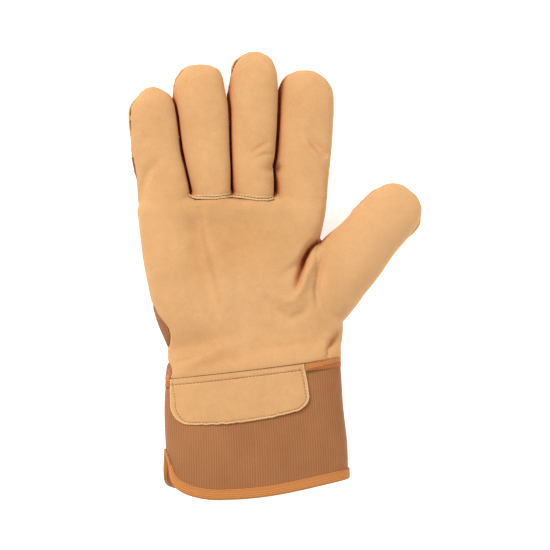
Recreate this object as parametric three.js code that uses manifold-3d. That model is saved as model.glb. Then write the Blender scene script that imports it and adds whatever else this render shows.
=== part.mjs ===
// Right-hand leather and canvas work glove with a safety cuff, lying on its back with the palm up.
// Millimetres: +X points to the thumb, +Y to the fingertips and +Z up out of the palm.
// The origin is on the surface that the glove lies on, under the middle of its outline.
import * as THREE from "three";
import { mergeVertices } from "three/addons/utils/BufferGeometryUtils.js";
import Module from "manifold-3d";

const wasm = await Module();
wasm.setup();

// Walls and gaps
const LEATHER_WALL = 2.2; // leather with its padding
const CANVAS_WALL = 1.8;
const TAPE_WALL = 1.0;
const PATCH_WALL = 1.6;
const GAP = 0.35; // between neighbouring pieces
const SEAM_GAP = 0.55; // between the hand and the cuff
const TAPE_WIDTH = 5.3;

// Heights above the surface
const SIDE_SEAM_HEIGHT = 10.5; // where the palm side meets the back all round the hand
const CUFF_LIFT = GAP + TAPE_WALL; // the cuff's cloth lies on the binding folded round its edge

// Each ring is round on top and flat where it lies down.
const BELLY = 0.48; // height of a ring's widest part, as a share of its own height
const SAG = 1.22; // above 1 flattens the underside
const FINGER_ROUNDNESS = 0.9; // 1 is an ellipse, and less is boxier
const HAND_ROUNDNESS = 0.66;
const FINGER_SIDES = 14;
const THUMB_SIDES = 16;
const HAND_SIDES = 28;

// The hand and the cuff, from the open end to the roots of the fingers
const BODY = [
  { y: -150, left: -67.8, right: 45.6, low: CUFF_LIFT, high: 41.5 },
  { y: -107, left: -68.0, right: 44.6, low: CUFF_LIFT, high: 38 },
  { y: -52, left: -67.7, right: 40.4, low: CUFF_LIFT, high: 32.6 },
  { y: -45, left: -66.8, right: 40.8, low: CUFF_LIFT, high: 31 },
  { y: -38, left: -69.5, right: 41.3, low: 0.8, high: 30.5 },
  { y: -28, left: -73.5, right: 41.0, low: 0, high: 31 },
  { y: -17, left: -76.5, right: 39.0, low: 0, high: 31.5 },
  { y: -5, left: -78.8, right: 34.5, low: 0, high: 31.5 },
  { y: 7, left: -81.2, right: 30.5, low: 0, high: 31 },
  { y: 20, left: -83.2, right: 28.2, low: 0, high: 29.5 },
  { y: 33, left: -84.7, right: 30.5, low: 0, high: 27.5 },
  { y: 44, left: -85.2, right: 31.6, low: 0, high: 25.5 },
  { y: 50, left: -83.0, right: 30.0, low: 1.5, high: 22.5 },
  { y: 53, left: -78.0, right: 26.0, low: 5, high: 17 },
];

// The fingers, from inside the hand to the tip
const FINGERS = [
  // little finger
  [
    { y: 22, left: -79, right: -58, low: 2.5, high: 24 },
    { y: 38, left: -84.4, right: -54, low: 0, high: 24.5 },
    { y: 51, left: -85.9, right: -54.2, low: 0, high: 23.5 },
    { y: 64.5, left: -87, right: -56.2, low: 0, high: 22 },
    { y: 77, left: -89.5, right: -59.4, low: 0, high: 21 },
    { y: 90, left: -90.6, right: -61.2, low: 0, high: 20.5 },
    { y: 101, left: -91, right: -62.6, low: 0, high: 20 },
    { y: 108.5, left: -89.8, right: -64.4, low: 0.8, high: 19 },
    { y: 114, left: -85.5, right: -67.5, low: 3, high: 16.5 },
    { y: 117.5, left: -80.5, right: -73, low: 6, high: 13 },
  ],
  // ring finger
  [
    { y: 22, left: -52, right: -30, low: 2.5, high: 24.5 },
    { y: 38, left: -52, right: -27.6, low: 0, high: 25.5 },
    { y: 51, left: -52.2, right: -27.7, low: 0, high: 25 },
    { y: 66, left: -55, right: -28.2, low: 0, high: 24 },
    { y: 80, left: -58.1, right: -28.9, low: 0, high: 23 },
    { y: 94, left: -60.3, right: -29.1, low: 0, high: 22 },
    { y: 107, left: -62.4, right: -29.6, low: 0, high: 21.5 },
    { y: 117.5, left: -63.2, right: -31.6, low: 0, high: 20.5 },
    { y: 125.5, left: -61.3, right: -33.7, low: 1.2, high: 18.5 },
    { y: 129.5, left: -58, right: -37, low: 3.5, high: 15.5 },
    { y: 131.8, left: -53.5, right: -41, low: 6, high: 12.5 },
  ],
  // middle finger
  [
    { y: 22, left: -24, right: -2, low: 2.5, high: 24.5 },
    { y: 38, left: -25.8, right: -0.8, low: 0, high: 25.5 },
    { y: 51, left: -26, right: -0.9, low: 0, high: 25 },
    { y: 64.5, left: -26.8, right: -1.2, low: 0, high: 24.5 },
    { y: 80, left: -27.7, right: -0.3, low: 0, high: 23.5 },
    { y: 94, left: -27.9, right: 0.6, low: 0, high: 22.5 },
    { y: 108, left: -28.2, right: 1, low: 0, high: 22 },
    { y: 121, left: -27.4, right: 1.2, low: 0, high: 21 },
    { y: 131, left: -25.3, right: -0.4, low: 0.8, high: 19 },
    { y: 137, left: -21.5, right: -4, low: 3, high: 16 },
    { y: 140, left: -16.5, right: -9, low: 6, high: 12.5 },
  ],
  // index finger
  [
    { y: 20, left: 4, right: 26, low: 2.5, high: 24 },
    { y: 36, left: 2, right: 31.2, low: 0, high: 25.5 },
    { y: 51.5, left: 0.9, right: 32.6, low: 0, high: 24.5 },
    { y: 66, left: 0.7, right: 33.6, low: 0, high: 23.5 },
    { y: 80, left: 1.2, right: 34.9, low: 0, high: 22.5 },
    { y: 94, left: 1.9, right: 35.8, low: 0, high: 22 },
    { y: 107, left: 2.2, right: 36.2, low: 0, high: 21.5 },
    { y: 115.5, left: 3.0, right: 35.6, low: 0, high: 20.5 },
    { y: 122, left: 5.2, right: 32.2, low: 1.2, high: 18.5 },
    { y: 126, left: 9, right: 28, low: 3.5, high: 15.5 },
    { y: 128.5, left: 14.5, right: 24, low: 6, high: 12.5 },
  ],
];

// The thumb stands off the hand at an angle, with its rows measured along its own line.
const THUMB_ROOT = { x: 37.5, y: -6 };
const THUMB_SPLAY = THREE.MathUtils.degToRad(39.8);
const THUMB = [
  { y: -34, left: -7, right: 9, low: 5, high: 20 },
  { y: -15, left: -16, right: 18.3, low: 0.5, high: 27 },
  { y: -4, left: -19, right: 18.2, low: 0, high: 28.5 },
  { y: 8, left: -22.5, right: 17.4, low: 0, high: 28.5 },
  { y: 19.5, left: -23.2, right: 17.4, low: 0, high: 27 },
  { y: 31, left: -20.8, right: 16.4, low: 0, high: 25.5 },
  { y: 41, left: -20.2, right: 15.6, low: 0, high: 24.5 },
  { y: 51, left: -19.8, right: 16, low: 0, high: 23.5 },
  { y: 60.5, left: -18.4, right: 15.4, low: 0, high: 22 },
  { y: 68, left: -15, right: 13, low: 1.2, high: 19.5 },
  { y: 73.5, left: -10.5, right: 8.5, low: 3.5, high: 16 },
  { y: 76, left: -6, right: 4, low: 6, high: 13 },
];

// The seam that joins the cuff to the hand climbs towards the thumb, and so does the cuff's open end,
// more on the palm side than on the back. The palm side's end also bows out a little.
const CUFF_SEAM = { x: -65.5, y: -64, slope: 0.129 };
const CUFF_END = { x: 45.5, y: -126.3, palmSlope: 0.146, palmBow: 1.9, backSlope: 0.05 };
const seamY = (x) => CUFF_SEAM.y + CUFF_SEAM.slope * (x - CUFF_SEAM.x);

// The cuff is slit on the little-finger side, with both corners rounded off.
const SLIT = {
  top: -101.5,
  lip: 2.4, // radius of the slit's round top
  splay: 0.8, // how much wider each side stands where its corner starts
  palmCorner: { start: -117, width: 35 },
  backCorner: { start: -115, width: 27 },
  turn: THREE.MathUtils.degToRad(10), // from the side of the cuff towards the palm
};

// The patch that guards the wrist, sewn over the palm side of the cuff
const PATCH = { left: -64.8, right: 19.4, drop: 31, leftCorner: 13, rightCorner: 8 };
// The tape runs from beside the patch, over the thumb side and underneath, to the little-finger side.
const WRIST_TAPE = { start: 20.4, end: -66.2, y: -62 };

// Seams seen from above
const WELT_WIDTH = 2.0;
const WELT_RISE = 0.9; // how far the welt stands out of the leather
const WELT_SHORTFALL = 0.1; // share of the seam's first and last stretch that the welt leaves free
const FINGER_BASE_SEAM = [
  [-54.6, 50.2], [-49.5, 48.2], [-37.5, 47.9], [-27, 49.3],
  [-19, 48.4], [-10.5, 47.1], [-3.5, 47.1], [0.2, 49.6],
];
const LITTLE_RING_SEAM = [[-54.6, 49.5], [-53.1, 60]];
const RING_MIDDLE_SEAM = [[-26.9, 48.5], [-26.9, 62]];
const MIDDLE_INDEX_SEAM = [[0.1, 48.5], [-0.1, 60]];
const PALM_EDGE_AT_WRIST = [
  [-82, -13], [-76, -18.5], [-74, -23.5], [-69, -31], [-65.5, -36.5],
  [-65.5, -40], [-66.3, -46.5], [-66, -51], [-63.5, -75],
];
const BACK_SEAMS = {
  index: [[-0.1, 60], [0.6, 45], [40, 37]],
  thumb: [[33, 29], [28.5, 20], [30, -5], [47, -40]],
  littleTip: [[-95, 73.5], [-57.4, 73.5]],
  ringTip: [[-60, 87.5], [-28.4, 87.5]],
  middleTip: [[-28.5, 95.5], [1.3, 95.5]],
};

const LEATHER = { color: 0xe0b077, roughness: 0.85, metalness: 0 };
const CANVAS = { color: 0xa9734a, roughness: 0.95, metalness: 0 };
const TAPE = { color: 0xd98a43, roughness: 0.8, metalness: 0 };

// The sewn pieces of the hand, each with the middle of its own box, by which it is recognised
const PANELS = {
  palm_panel: { centre: [0, 32, 21], finish: LEATHER },
  ring_finger_front: { centre: [-45, 90, 18], finish: LEATHER },
  middle_finger_front: { centre: [-13, 94, 18], finish: LEATHER },
  back_panel: { centre: [-25, 16, 15], finish: CANVAS },
  index_finger_back: { centre: [18, 83, 5], finish: LEATHER },
  thumb_back: { centre: [60, 10, 5], finish: LEATHER },
  little_fingertip: { centre: [-75, 95, 5], finish: LEATHER },
  ring_fingertip: { centre: [-46, 110, 5], finish: LEATHER },
  middle_fingertip: { centre: [-14, 118, 5], finish: LEATHER },
};

// A row of BODY at any y, mixed from the two rows around it
function bodyRow(y) {
  const next = BODY.findIndex((row) => row.y > y);
  const [before, after] = [BODY[next - 1], BODY[next]];
  const share = (y - before.y) / (after.y - before.y);
  const mix = (name) => THREE.MathUtils.lerp(before[name], after[name], share);
  return { y, left: mix("left"), right: mix("right"), low: mix("low"), high: mix("high") };
}

// A point of a row's ring: angle 0 faces the thumb side, and a quarter turn faces up.
function ringPoint(row, angle, roundness) {
  const eased = (v) => Math.sign(v) * Math.abs(v) ** roundness;
  const across = eased(Math.cos(angle));
  const up = eased(Math.sin(angle));
  const x = (row.left + row.right) / 2 + (across * (row.right - row.left)) / 2;
  const belly = THREE.MathUtils.lerp(row.low, row.high, BELLY);
  const z = up > 0 ? belly + (row.high - belly) * up : belly + (belly - row.low) * SAG * up;
  return new THREE.Vector3(x, row.y, Math.max(row.low, z));
}

// A closed body through rings of points. Its ends are capped across, unless the last ring meets the first.
function loft(rings, meets = false) {
  const size = rings[0].length;
  const faces = [];
  const quad = (a, b, c, d) => faces.push(a, b, c, a, c, d);
  const at = (i, k) => (i % rings.length) * size + (k % size);
  for (let i = 0; i < (meets ? rings.length : rings.length - 1); i++) {
    for (let k = 0; k < size; k++) quad(at(i, k), at(i + 1, k), at(i + 1, k + 1), at(i, k + 1));
  }
  const last = rings.length - 1;
  for (let k = 0; !meets && k + 1 < size / 2; k++) {
    quad(at(0, k), at(0, k + 1), at(0, size - 2 - k), at(0, size - 1 - k));
    quad(at(last, k), at(last, size - 1 - k), at(last, size - 2 - k), at(last, k + 1));
  }
  return new THREE.BufferGeometry().setFromPoints(rings.flat()).setIndex(faces);
}

// A finger, thumb or hand as a tapering tube through its table's rings
function lobe(table, sides, roundness) {
  const angles = Array.from({ length: sides }, (_, k) => (2 * Math.PI * k) / sides);
  return loft(table.map((row) => angles.map((angle) => ringPoint(row, angle, roundness))));
}

// The same shape with its skin moved out, or in where the distance is negative
function grown(geometry, distance) {
  const copy = geometry.clone();
  copy.computeVertexNormals();
  const place = new THREE.Vector3();
  const normal = new THREE.Vector3();
  for (let i = 0; i < copy.attributes.position.count; i++) {
    place.fromBufferAttribute(copy.attributes.position, i);
    normal.fromBufferAttribute(copy.attributes.normal, i);
    place.addScaledVector(normal, distance);
    copy.attributes.position.setXYZ(i, ...place.toArray());
  }
  return copy;
}

const MERGE_DISTANCE = 0.001;
function solidFrom(geometry) {
  const bare = new THREE.BufferGeometry().setAttribute("position", geometry.attributes.position);
  bare.setIndex(geometry.index);
  const merged = mergeVertices(bare, MERGE_DISTANCE);
  const vertProperties = new Float32Array(merged.attributes.position.array);
  const triVerts = new Uint32Array(merged.index.array);
  return new wasm.Manifold(new wasm.Mesh({ numProp: 3, vertProperties, triVerts }));
}

function geometryFrom(solid) {
  const { vertProperties, triVerts } = solid.getMesh();
  const geometry = new THREE.BufferGeometry();
  geometry.setAttribute("position", new THREE.BufferAttribute(vertProperties, 3));
  geometry.setIndex(new THREE.BufferAttribute(triVerts, 1));
  return geometry;
}

// An upright block over an outline, between two heights
function block(outline, low, high) {
  const shape = new THREE.Shape(outline.map(([x, y]) => new THREE.Vector2(x, y)));
  const geometry = new THREE.ExtrudeGeometry(shape, { depth: high - low, bevelEnabled: false });
  return solidFrom(geometry.translate(0, 0, low));
}

// A thin upright wall along a line of points, as wide as a seam's gap
function seamCut(line, low, high, width = GAP) {
  const points = line.map(([x, y]) => new THREE.Vector2(x, y));
  const side = (distance) =>
    points.map((point, i) => {
      const before = points[Math.max(i - 1, 0)];
      const after = points[Math.min(i + 1, points.length - 1)];
      const along = after.clone().sub(before).normalize();
      return [point.x - along.y * distance, point.y + along.x * distance];
    });
  return block([...side(-width / 2), ...side(width / 2).reverse()], low, high);
}

// The hand, the thumb and the fingers as one body, grown by some distance
function wholeHand(distance) {
  const thumb = lobe(THUMB, THUMB_SIDES, FINGER_ROUNDNESS);
  thumb.rotateZ(-THUMB_SPLAY).translate(THUMB_ROOT.x, THUMB_ROOT.y, 0);
  const fingers = FINGERS.map((table) => lobe(table, FINGER_SIDES, FINGER_ROUNDNESS));
  return [lobe(BODY, HAND_SIDES, HAND_ROUNDNESS), thumb, ...fingers]
    .map((geometry) => solidFrom(grown(geometry, distance)))
    .reduce((whole, each) => whole.add(each));
}

const FAR = 200; // beyond the glove on every side
const TOP = 60; // above the glove
const HOLLOW = wholeHand(-LEATHER_WALL);

// The walls of the hand, cut along every seam
function handPieces() {
  const belowSeam = block([[-FAR, seamY(-FAR)], [-FAR, -FAR], [FAR, -FAR], [FAR, seamY(FAR)]], -TOP, TOP);
  const canvasWrap = block([...PALM_EDGE_AT_WRIST, [-FAR, -75], [-FAR, -13]], 0, TOP);
  const everywhere = [[-FAR, -FAR], [FAR, -FAR], [FAR, FAR], [-FAR, FAR]];
  const sideSeam = block(everywhere, SIDE_SEAM_HEIGHT - GAP / 2, SIDE_SEAM_HEIGHT + GAP / 2);
  const cuts = [
    belowSeam,
    sideSeam.subtract(canvasWrap),
    seamCut(FINGER_BASE_SEAM, SIDE_SEAM_HEIGHT, TOP, WELT_WIDTH + 2 * GAP),
  ];
  [PALM_EDGE_AT_WRIST, LITTLE_RING_SEAM, RING_MIDDLE_SEAM, MIDDLE_INDEX_SEAM].forEach((line) =>
    cuts.push(seamCut(line, SIDE_SEAM_HEIGHT, TOP)));
  Object.values(BACK_SEAMS).forEach((line) => cuts.push(seamCut(line, -TOP, SIDE_SEAM_HEIGHT)));
  const shell = wholeHand(0).subtract(HOLLOW);
  return cuts.reduce((left, cut) => left.subtract(cut), shell).decompose();
}

// The welt that stands in the seam below the ring and middle fingers, a little shorter than the seam
function fingerBaseWelt() {
  const line = FINGER_BASE_SEAM.map(([x, y]) => new THREE.Vector2(x, y));
  const start = line[0].clone().lerp(line[1], WELT_SHORTFALL);
  const end = line[line.length - 1].clone().lerp(line[line.length - 2], WELT_SHORTFALL);
  const shorter = [start, ...line.slice(1, -1), end].map((point) => point.toArray());
  const slot = seamCut(shorter, SIDE_SEAM_HEIGHT + GAP, TOP, WELT_WIDTH);
  return wholeHand(WELT_RISE).subtract(HOLLOW).intersect(slot);
}

// A place on the cuff's skin: angle round the ring, y along it, and distance out of the skin
function cuffPoint(angle, y, out) {
  const step = 0.02;
  const row = bodyRow(y);
  const behind = ringPoint(row, angle - step, HAND_ROUNDNESS);
  const ahead = ringPoint(row, angle + step, HAND_ROUNDNESS);
  const outward = new THREE.Vector3(ahead.z - behind.z, 0, behind.x - ahead.x).normalize();
  return ringPoint(row, angle, HAND_ROUNDNESS).addScaledVector(outward, out);
}

// Lengths round the cuff's open end, from the slit over the palm side and back underneath
const START = Math.PI - SLIT.turn;
const END_ROW = bodyRow(SLIT.palmCorner.start);
const STEPS = 720;
const STEP_ANGLE = (2 * Math.PI) / STEPS;
const LENGTHS = [0];
for (let k = 1; k <= STEPS; k++) {
  const from = ringPoint(END_ROW, START - STEP_ANGLE * (k - 1), HAND_ROUNDNESS);
  const to = ringPoint(END_ROW, START - STEP_ANGLE * k, HAND_ROUNDNESS);
  LENGTHS.push(LENGTHS[k - 1] + from.distanceTo(to));
}
const GIRTH = LENGTHS[STEPS];

function angleAt(length) {
  const round = THREE.MathUtils.euclideanModulo(length, GIRTH);
  const k = Math.max(1, LENGTHS.findIndex((each) => each >= round));
  return START - STEP_ANGLE * (k - 1 + (round - LENGTHS[k - 1]) / (LENGTHS[k] - LENGTHS[k - 1]));
}

function lengthAt(angle) {
  const steps = (START - angle) / STEP_ANGLE;
  const k = Math.floor(steps);
  return THREE.MathUtils.lerp(LENGTHS[k], LENGTHS[k + 1], steps - k);
}

// The angle at which the palm side passes some x
function angleAtX(x, y) {
  const { left, right } = bodyRow(y);
  const across = (2 * x - left - right) / (right - left);
  return Math.acos(Math.sign(across) * Math.abs(across) ** (1 / HAND_ROUNDNESS));
}

// The cuff's open edge, at some length round from the slit
function edgeY(length) {
  const { top, lip, splay, palmCorner, backCorner } = SLIT;
  const onPalmSide = length < lengthAt(0);
  const corner = onPalmSide ? palmCorner : backCorner;
  const away = Math.min(length, GIRTH - length);
  if (away < lip) return top - lip + Math.sqrt(lip ** 2 - away ** 2);
  const down = (away - lip) / splay;
  if (down < 1) return THREE.MathUtils.lerp(top - lip, corner.start, down);
  const { x } = ringPoint(END_ROW, angleAt(length), HAND_ROUNDNESS);
  const slope = onPalmSide ? CUFF_END.palmSlope : CUFF_END.backSlope;
  const bow = onPalmSide ? CUFF_END.palmBow * Math.sin((Math.PI * length) / lengthAt(0)) : 0;
  const plain = CUFF_END.y + slope * (x - CUFF_END.x) - bow;
  const along = Math.min(1, (away - lip - splay) / corner.width);
  return THREE.MathUtils.lerp(plain, corner.start, 1 - Math.sqrt(1 - (1 - along) ** 2));
}

// The cuff's upper edge, just below the seam that joins it to the hand
const SEAM_ROW = bodyRow(CUFF_SEAM.y);
function topAt(angle) {
  return seamY(ringPoint(SEAM_ROW, angle, HAND_ROUNDNESS).x) - SEAM_GAP;
}

// Columns round the cuff, which its cloth, tape and patch share so that they lie flat on each other
const CORNER_STEPS = 8;
const PLAIN_STEPS = 27;
function cornerLengths({ width }) {
  const turns = Array.from({ length: CORNER_STEPS + 1 }, (_, k) => (Math.PI / 2) * (k / CORNER_STEPS));
  const round = turns.map((turn) => SLIT.lip + SLIT.splay + width * (1 - Math.cos(turn)));
  const partWayRoundLip = SLIT.lip * Math.sin(Math.PI / 4);
  return [partWayRoundLip, SLIT.lip, ...round];
}

function cuffColumns() {
  const palmCorner = cornerLengths(SLIT.palmCorner);
  const backCorner = cornerLengths(SLIT.backCorner).map((length) => GIRTH - length);
  const start = angleAt(Math.max(...palmCorner));
  const end = angleAt(Math.min(...backCorner));
  const lengths = [0, ...palmCorner, ...backCorner];
  for (let k = 1; k < PLAIN_STEPS; k++) {
    lengths.push(lengthAt(THREE.MathUtils.lerp(start, end, k / PLAIN_STEPS)));
  }
  return lengths.sort((a, b) => a - b).map((length) => {
    const angle = angleAt(length);
    return { length, angle, bottom: edgeY(length), top: topAt(angle) };
  });
}
const COLUMNS = cuffColumns();

// A sheet on the cuff between two distances out of its skin, through columns with a top and a bottom
function sheet(columns, inner, outer, rows, meets = false) {
  const shares = Array.from({ length: rows + 1 }, (_, j) => j / rows);
  const ring = ({ angle, top, bottom }) => [
    ...shares.map((share) => cuffPoint(angle, THREE.MathUtils.lerp(bottom, top, share), outer)),
    ...shares.map((share) => cuffPoint(angle, THREE.MathUtils.lerp(top, bottom, share), inner)),
  ];
  return loft(columns.map(ring), meets);
}

// The shared angles between two ends, and the ends
function anglesBetween(start, end) {
  const apart = 0.01;
  const isInside = ({ angle }) => angle < start - apart && angle > end + apart;
  return [start, ...COLUMNS.filter(isInside).map(({ angle }) => angle), end];
}

function wristTape() {
  const start = angleAtX(WRIST_TAPE.start, WRIST_TAPE.y);
  const end = angleAtX(WRIST_TAPE.end, WRIST_TAPE.y);
  const angles = [...anglesBetween(start, START - 2 * Math.PI), ...anglesBetween(START, end).slice(1)];
  const columns = angles.map((angle) => ({ angle, top: topAt(angle), bottom: topAt(angle) - TAPE_WIDTH }));
  return sheet(columns, GAP, GAP + TAPE_WALL, 1);
}

// How far a round corner lifts the patch's lower edge, at some distance in from its side
function cornerLift(distance, radius) {
  return distance < radius ? radius - Math.sqrt(radius ** 2 - (radius - distance) ** 2) : 0;
}

function pulsePatch() {
  const { left, right, drop, leftCorner, rightCorner } = PATCH;
  const middle = (left + right) / 2;
  const y = seamY(middle) - drop / 2;
  const plain = anglesBetween(angleAtX(left, y), angleAtX(right, y));
  const sharesOfCorner = [0.05, 0.25, 0.6]; // closest together where the round corner is steepest
  const extra = sharesOfCorner.flatMap((share) => [left + leftCorner * share, right - rightCorner * share]);
  const angles = [...plain, ...extra.map((x) => angleAtX(x, y))].sort((a, b) => b - a);
  const columns = angles.map((angle) => {
    const { x } = ringPoint(bodyRow(y), angle, HAND_ROUNDNESS);
    const lift = cornerLift(x - left, leftCorner) + cornerLift(right - x, rightCorner);
    return { angle, top: topAt(angle), bottom: topAt(angle) - drop + lift };
  });
  return sheet(columns, GAP, GAP + PATCH_WALL, 2);
}

// The binding: tape folded round the cuff's edge, as a channel that follows the edge all the way round
function cuffBinding() {
  const outer = GAP;
  const inner = -CANVAS_WALL - GAP;
  const fold = -GAP; // the fold's inside, just past the edge
  const profile = [
    { depth: fold - TAPE_WALL, out: outer },
    { depth: 0, out: outer + TAPE_WALL },
    { depth: TAPE_WIDTH, out: outer + TAPE_WALL },
    { depth: TAPE_WIDTH, out: outer },
    { depth: fold, out: outer },
    { depth: fold, out: inner },
    { depth: TAPE_WIDTH, out: inner },
    { depth: TAPE_WIDTH, out: inner - TAPE_WALL },
    { depth: 0, out: inner - TAPE_WALL },
    { depth: fold - TAPE_WALL, out: inner },
  ];
  // The edge is drawn flat, as length round the cuff and height up it, and then wrapped round.
  const edge = COLUMNS.map(({ length, bottom }) => new THREE.Vector2(length, bottom));
  const firstAgain = edge[0].clone().setX(GIRTH);
  const lastBefore = edge[edge.length - 1].clone().setX(edge[edge.length - 1].x - GIRTH);
  const rings = edge.map((place, i) => {
    const along = (edge[i + 1] ?? firstAgain).clone().sub(edge[i - 1] ?? lastBefore).normalize();
    return profile.map(({ depth, out }) => {
      const length = place.x - along.y * depth;
      return cuffPoint(angleAt(length), place.y + along.x * depth, out);
    });
  });
  return loft(rings, true);
}

const glove = new THREE.Group();

function addPiece(name, geometry, finish) {
  const flat = geometry.toNonIndexed();
  flat.computeVertexNormals();
  const mesh = new THREE.Mesh(flat, new THREE.MeshStandardMaterial(finish));
  mesh.name = name;
  glove.add(mesh);
}

handPieces().forEach((solid) => {
  const { min, max } = solid.boundingBox();
  const centre = new THREE.Vector3(...min).add(new THREE.Vector3(...max)).divideScalar(2);
  const distanceTo = (name) => centre.distanceTo(new THREE.Vector3(...PANELS[name].centre));
  const [name] = Object.keys(PANELS).sort((a, b) => distanceTo(a) - distanceTo(b));
  addPiece(name, geometryFrom(solid), PANELS[name].finish);
});
addPiece("finger_base_welt", geometryFrom(fingerBaseWelt()), LEATHER);
addPiece("cuff", sheet(COLUMNS, -CANVAS_WALL, 0, 3, true), CANVAS);
addPiece("cuff_binding", cuffBinding(), TAPE);
addPiece("wrist_tape", wristTape(), TAPE);
addPiece("pulse_patch", pulsePatch(), LEATHER);

export default glove;
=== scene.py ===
# %% [markdown]
# # A leather and canvas work glove with a safety cuff
# The glove lies on its back with its palm up. Leather covers the palm side, the fingertips and the backs of
# the thumb and the index finger. Brown duck canvas covers the rest of the back and makes the stiff cuff, and
# orange tape binds the cuff's edge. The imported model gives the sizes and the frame: millimetres there are
# metres here, with the fingers along +Y, the thumb towards +X and the palm facing +Z.

import math
from collections import namedtuple
from contextlib import contextmanager

import bpy
import numpy as np
from mathutils import Matrix, Vector, noise
from mathutils.bvhtree import BVHTree


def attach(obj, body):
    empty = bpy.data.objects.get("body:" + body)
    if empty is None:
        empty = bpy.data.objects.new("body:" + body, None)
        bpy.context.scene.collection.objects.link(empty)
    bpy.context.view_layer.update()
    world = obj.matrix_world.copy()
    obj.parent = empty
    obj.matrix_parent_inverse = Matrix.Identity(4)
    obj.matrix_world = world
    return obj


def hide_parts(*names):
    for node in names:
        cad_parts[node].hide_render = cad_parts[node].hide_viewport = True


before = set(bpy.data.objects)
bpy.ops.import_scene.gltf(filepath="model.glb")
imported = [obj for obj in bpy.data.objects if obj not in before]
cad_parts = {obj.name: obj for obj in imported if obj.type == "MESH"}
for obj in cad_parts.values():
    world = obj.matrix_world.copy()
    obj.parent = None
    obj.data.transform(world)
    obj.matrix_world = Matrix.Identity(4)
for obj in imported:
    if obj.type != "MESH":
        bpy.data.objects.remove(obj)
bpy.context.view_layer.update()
MM = 0.001

# %% [markdown]
# ## Small helpers
# Blender's operators act on what is selected, and the imported nodes are still selected, so everything is
# deselected before a new piece is touched. Modifiers are applied at once, so each piece ends as a plain
# mesh. Moving many points at a time, like a sculpting brush does, is easiest with all of them in one array.
# Most brushes here fall off softly from where they are put down, and two small functions do that.


# %% Select, edit and apply
def make_active(piece):
    for other in bpy.context.selected_objects:
        other.select_set(False)
    piece.select_set(True)
    bpy.context.view_layer.objects.active = piece


@contextmanager
def editing(piece):
    """Opens a piece in edit mode with all of it selected, and leaves edit mode at the end."""
    make_active(piece)
    bpy.ops.object.mode_set(mode="EDIT")
    bpy.ops.mesh.select_all(action="SELECT")
    yield
    bpy.ops.object.mode_set(mode="OBJECT")


def apply_modifier(piece, kind, **settings):
    make_active(piece)
    modifier = piece.modifiers.new(kind.title(), kind)
    for name, value in settings.items():
        setattr(modifier, name, value)
    bpy.ops.object.modifier_apply(modifier=modifier.name)


def give_wall(piece, wall):
    """Makes a surface a wall of some mm, which grows inwards, and shades it smoothly."""
    apply_modifier(piece, "SOLIDIFY", thickness=wall * MM, offset=-1)
    piece.data.shade_smooth()


# %% Read, store and move points
def read_points(piece, what="co"):
    values = np.empty(len(piece.data.vertices) * 3)
    source = piece.data.vertices if what == "co" else piece.data.vertex_normals
    source.foreach_get("co" if what == "co" else "vector", values)
    return values.reshape(-1, 3)


def write_points(piece, points):
    piece.data.vertices.foreach_set("co", np.ascontiguousarray(points, dtype=np.float32).ravel())
    piece.data.update()


def store(piece, name, values, kind="FLOAT", domain="POINT"):
    """Keeps one value for each point or edge of a piece as an attribute."""
    number = {"FLOAT": np.float32, "INT": np.int32, "BOOLEAN": bool}[kind]
    piece.data.attributes.new(name, kind, domain).data.foreach_set("value", values.astype(number))


def edge_ends(piece):
    ends = np.empty(len(piece.data.edges) * 2, dtype=int)
    piece.data.edges.foreach_get("vertices", ends)
    return ends.reshape(-1, 2)


def sharpen(piece, chosen):
    """Marks the edges between chosen points as sharp, so that the face beside them stays flat up to them."""
    store(piece, "sharp_edge", chosen[edge_ends(piece)].all(axis=1), "BOOLEAN", "EDGE")


def even_out(points, ends, free, times):
    """Moves each point half way to its neighbours' mean, or less where it is free by a smaller share."""
    count = np.bincount(ends.ravel(), minlength=len(points))
    for _ in range(times):
        for part in range(points.shape[1]):
            values = points[:, part]
            total = np.bincount(ends[:, 0], values[ends[:, 1]], len(points))
            total += np.bincount(ends[:, 1], values[ends[:, 0]], len(points))
            values += 0.5 * free * (total / count - values)


# %% Fall-offs
def smoothstep(values, start, end):
    """From 0 at the start to 1 at the end, level at both."""
    share = np.clip((values - start) / (end - start), 0, 1)
    return share * share * (3 - 2 * share)


def bell(away, width):
    """1 in the middle, falling softly to both sides."""
    return np.exp(-((away / width) ** 2))


# %% [markdown]
# ## The form of the hand
# A glove that lies by itself is a row of soft tubes: the hand, four fingers and a thumb. Each tube could be a
# stretched cylinder, but a real one changes width and height all along. So each is drawn like a ship's hull:
# a short table gives its left and right edges, its underside and its top at some places along it, and a ring
# of points is extruded from place to place. The ring is round on top and flat where the glove lies down.

# %% Tables of sections, in millimetres
Row = namedtuple("Row", "y left right low high")

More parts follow.
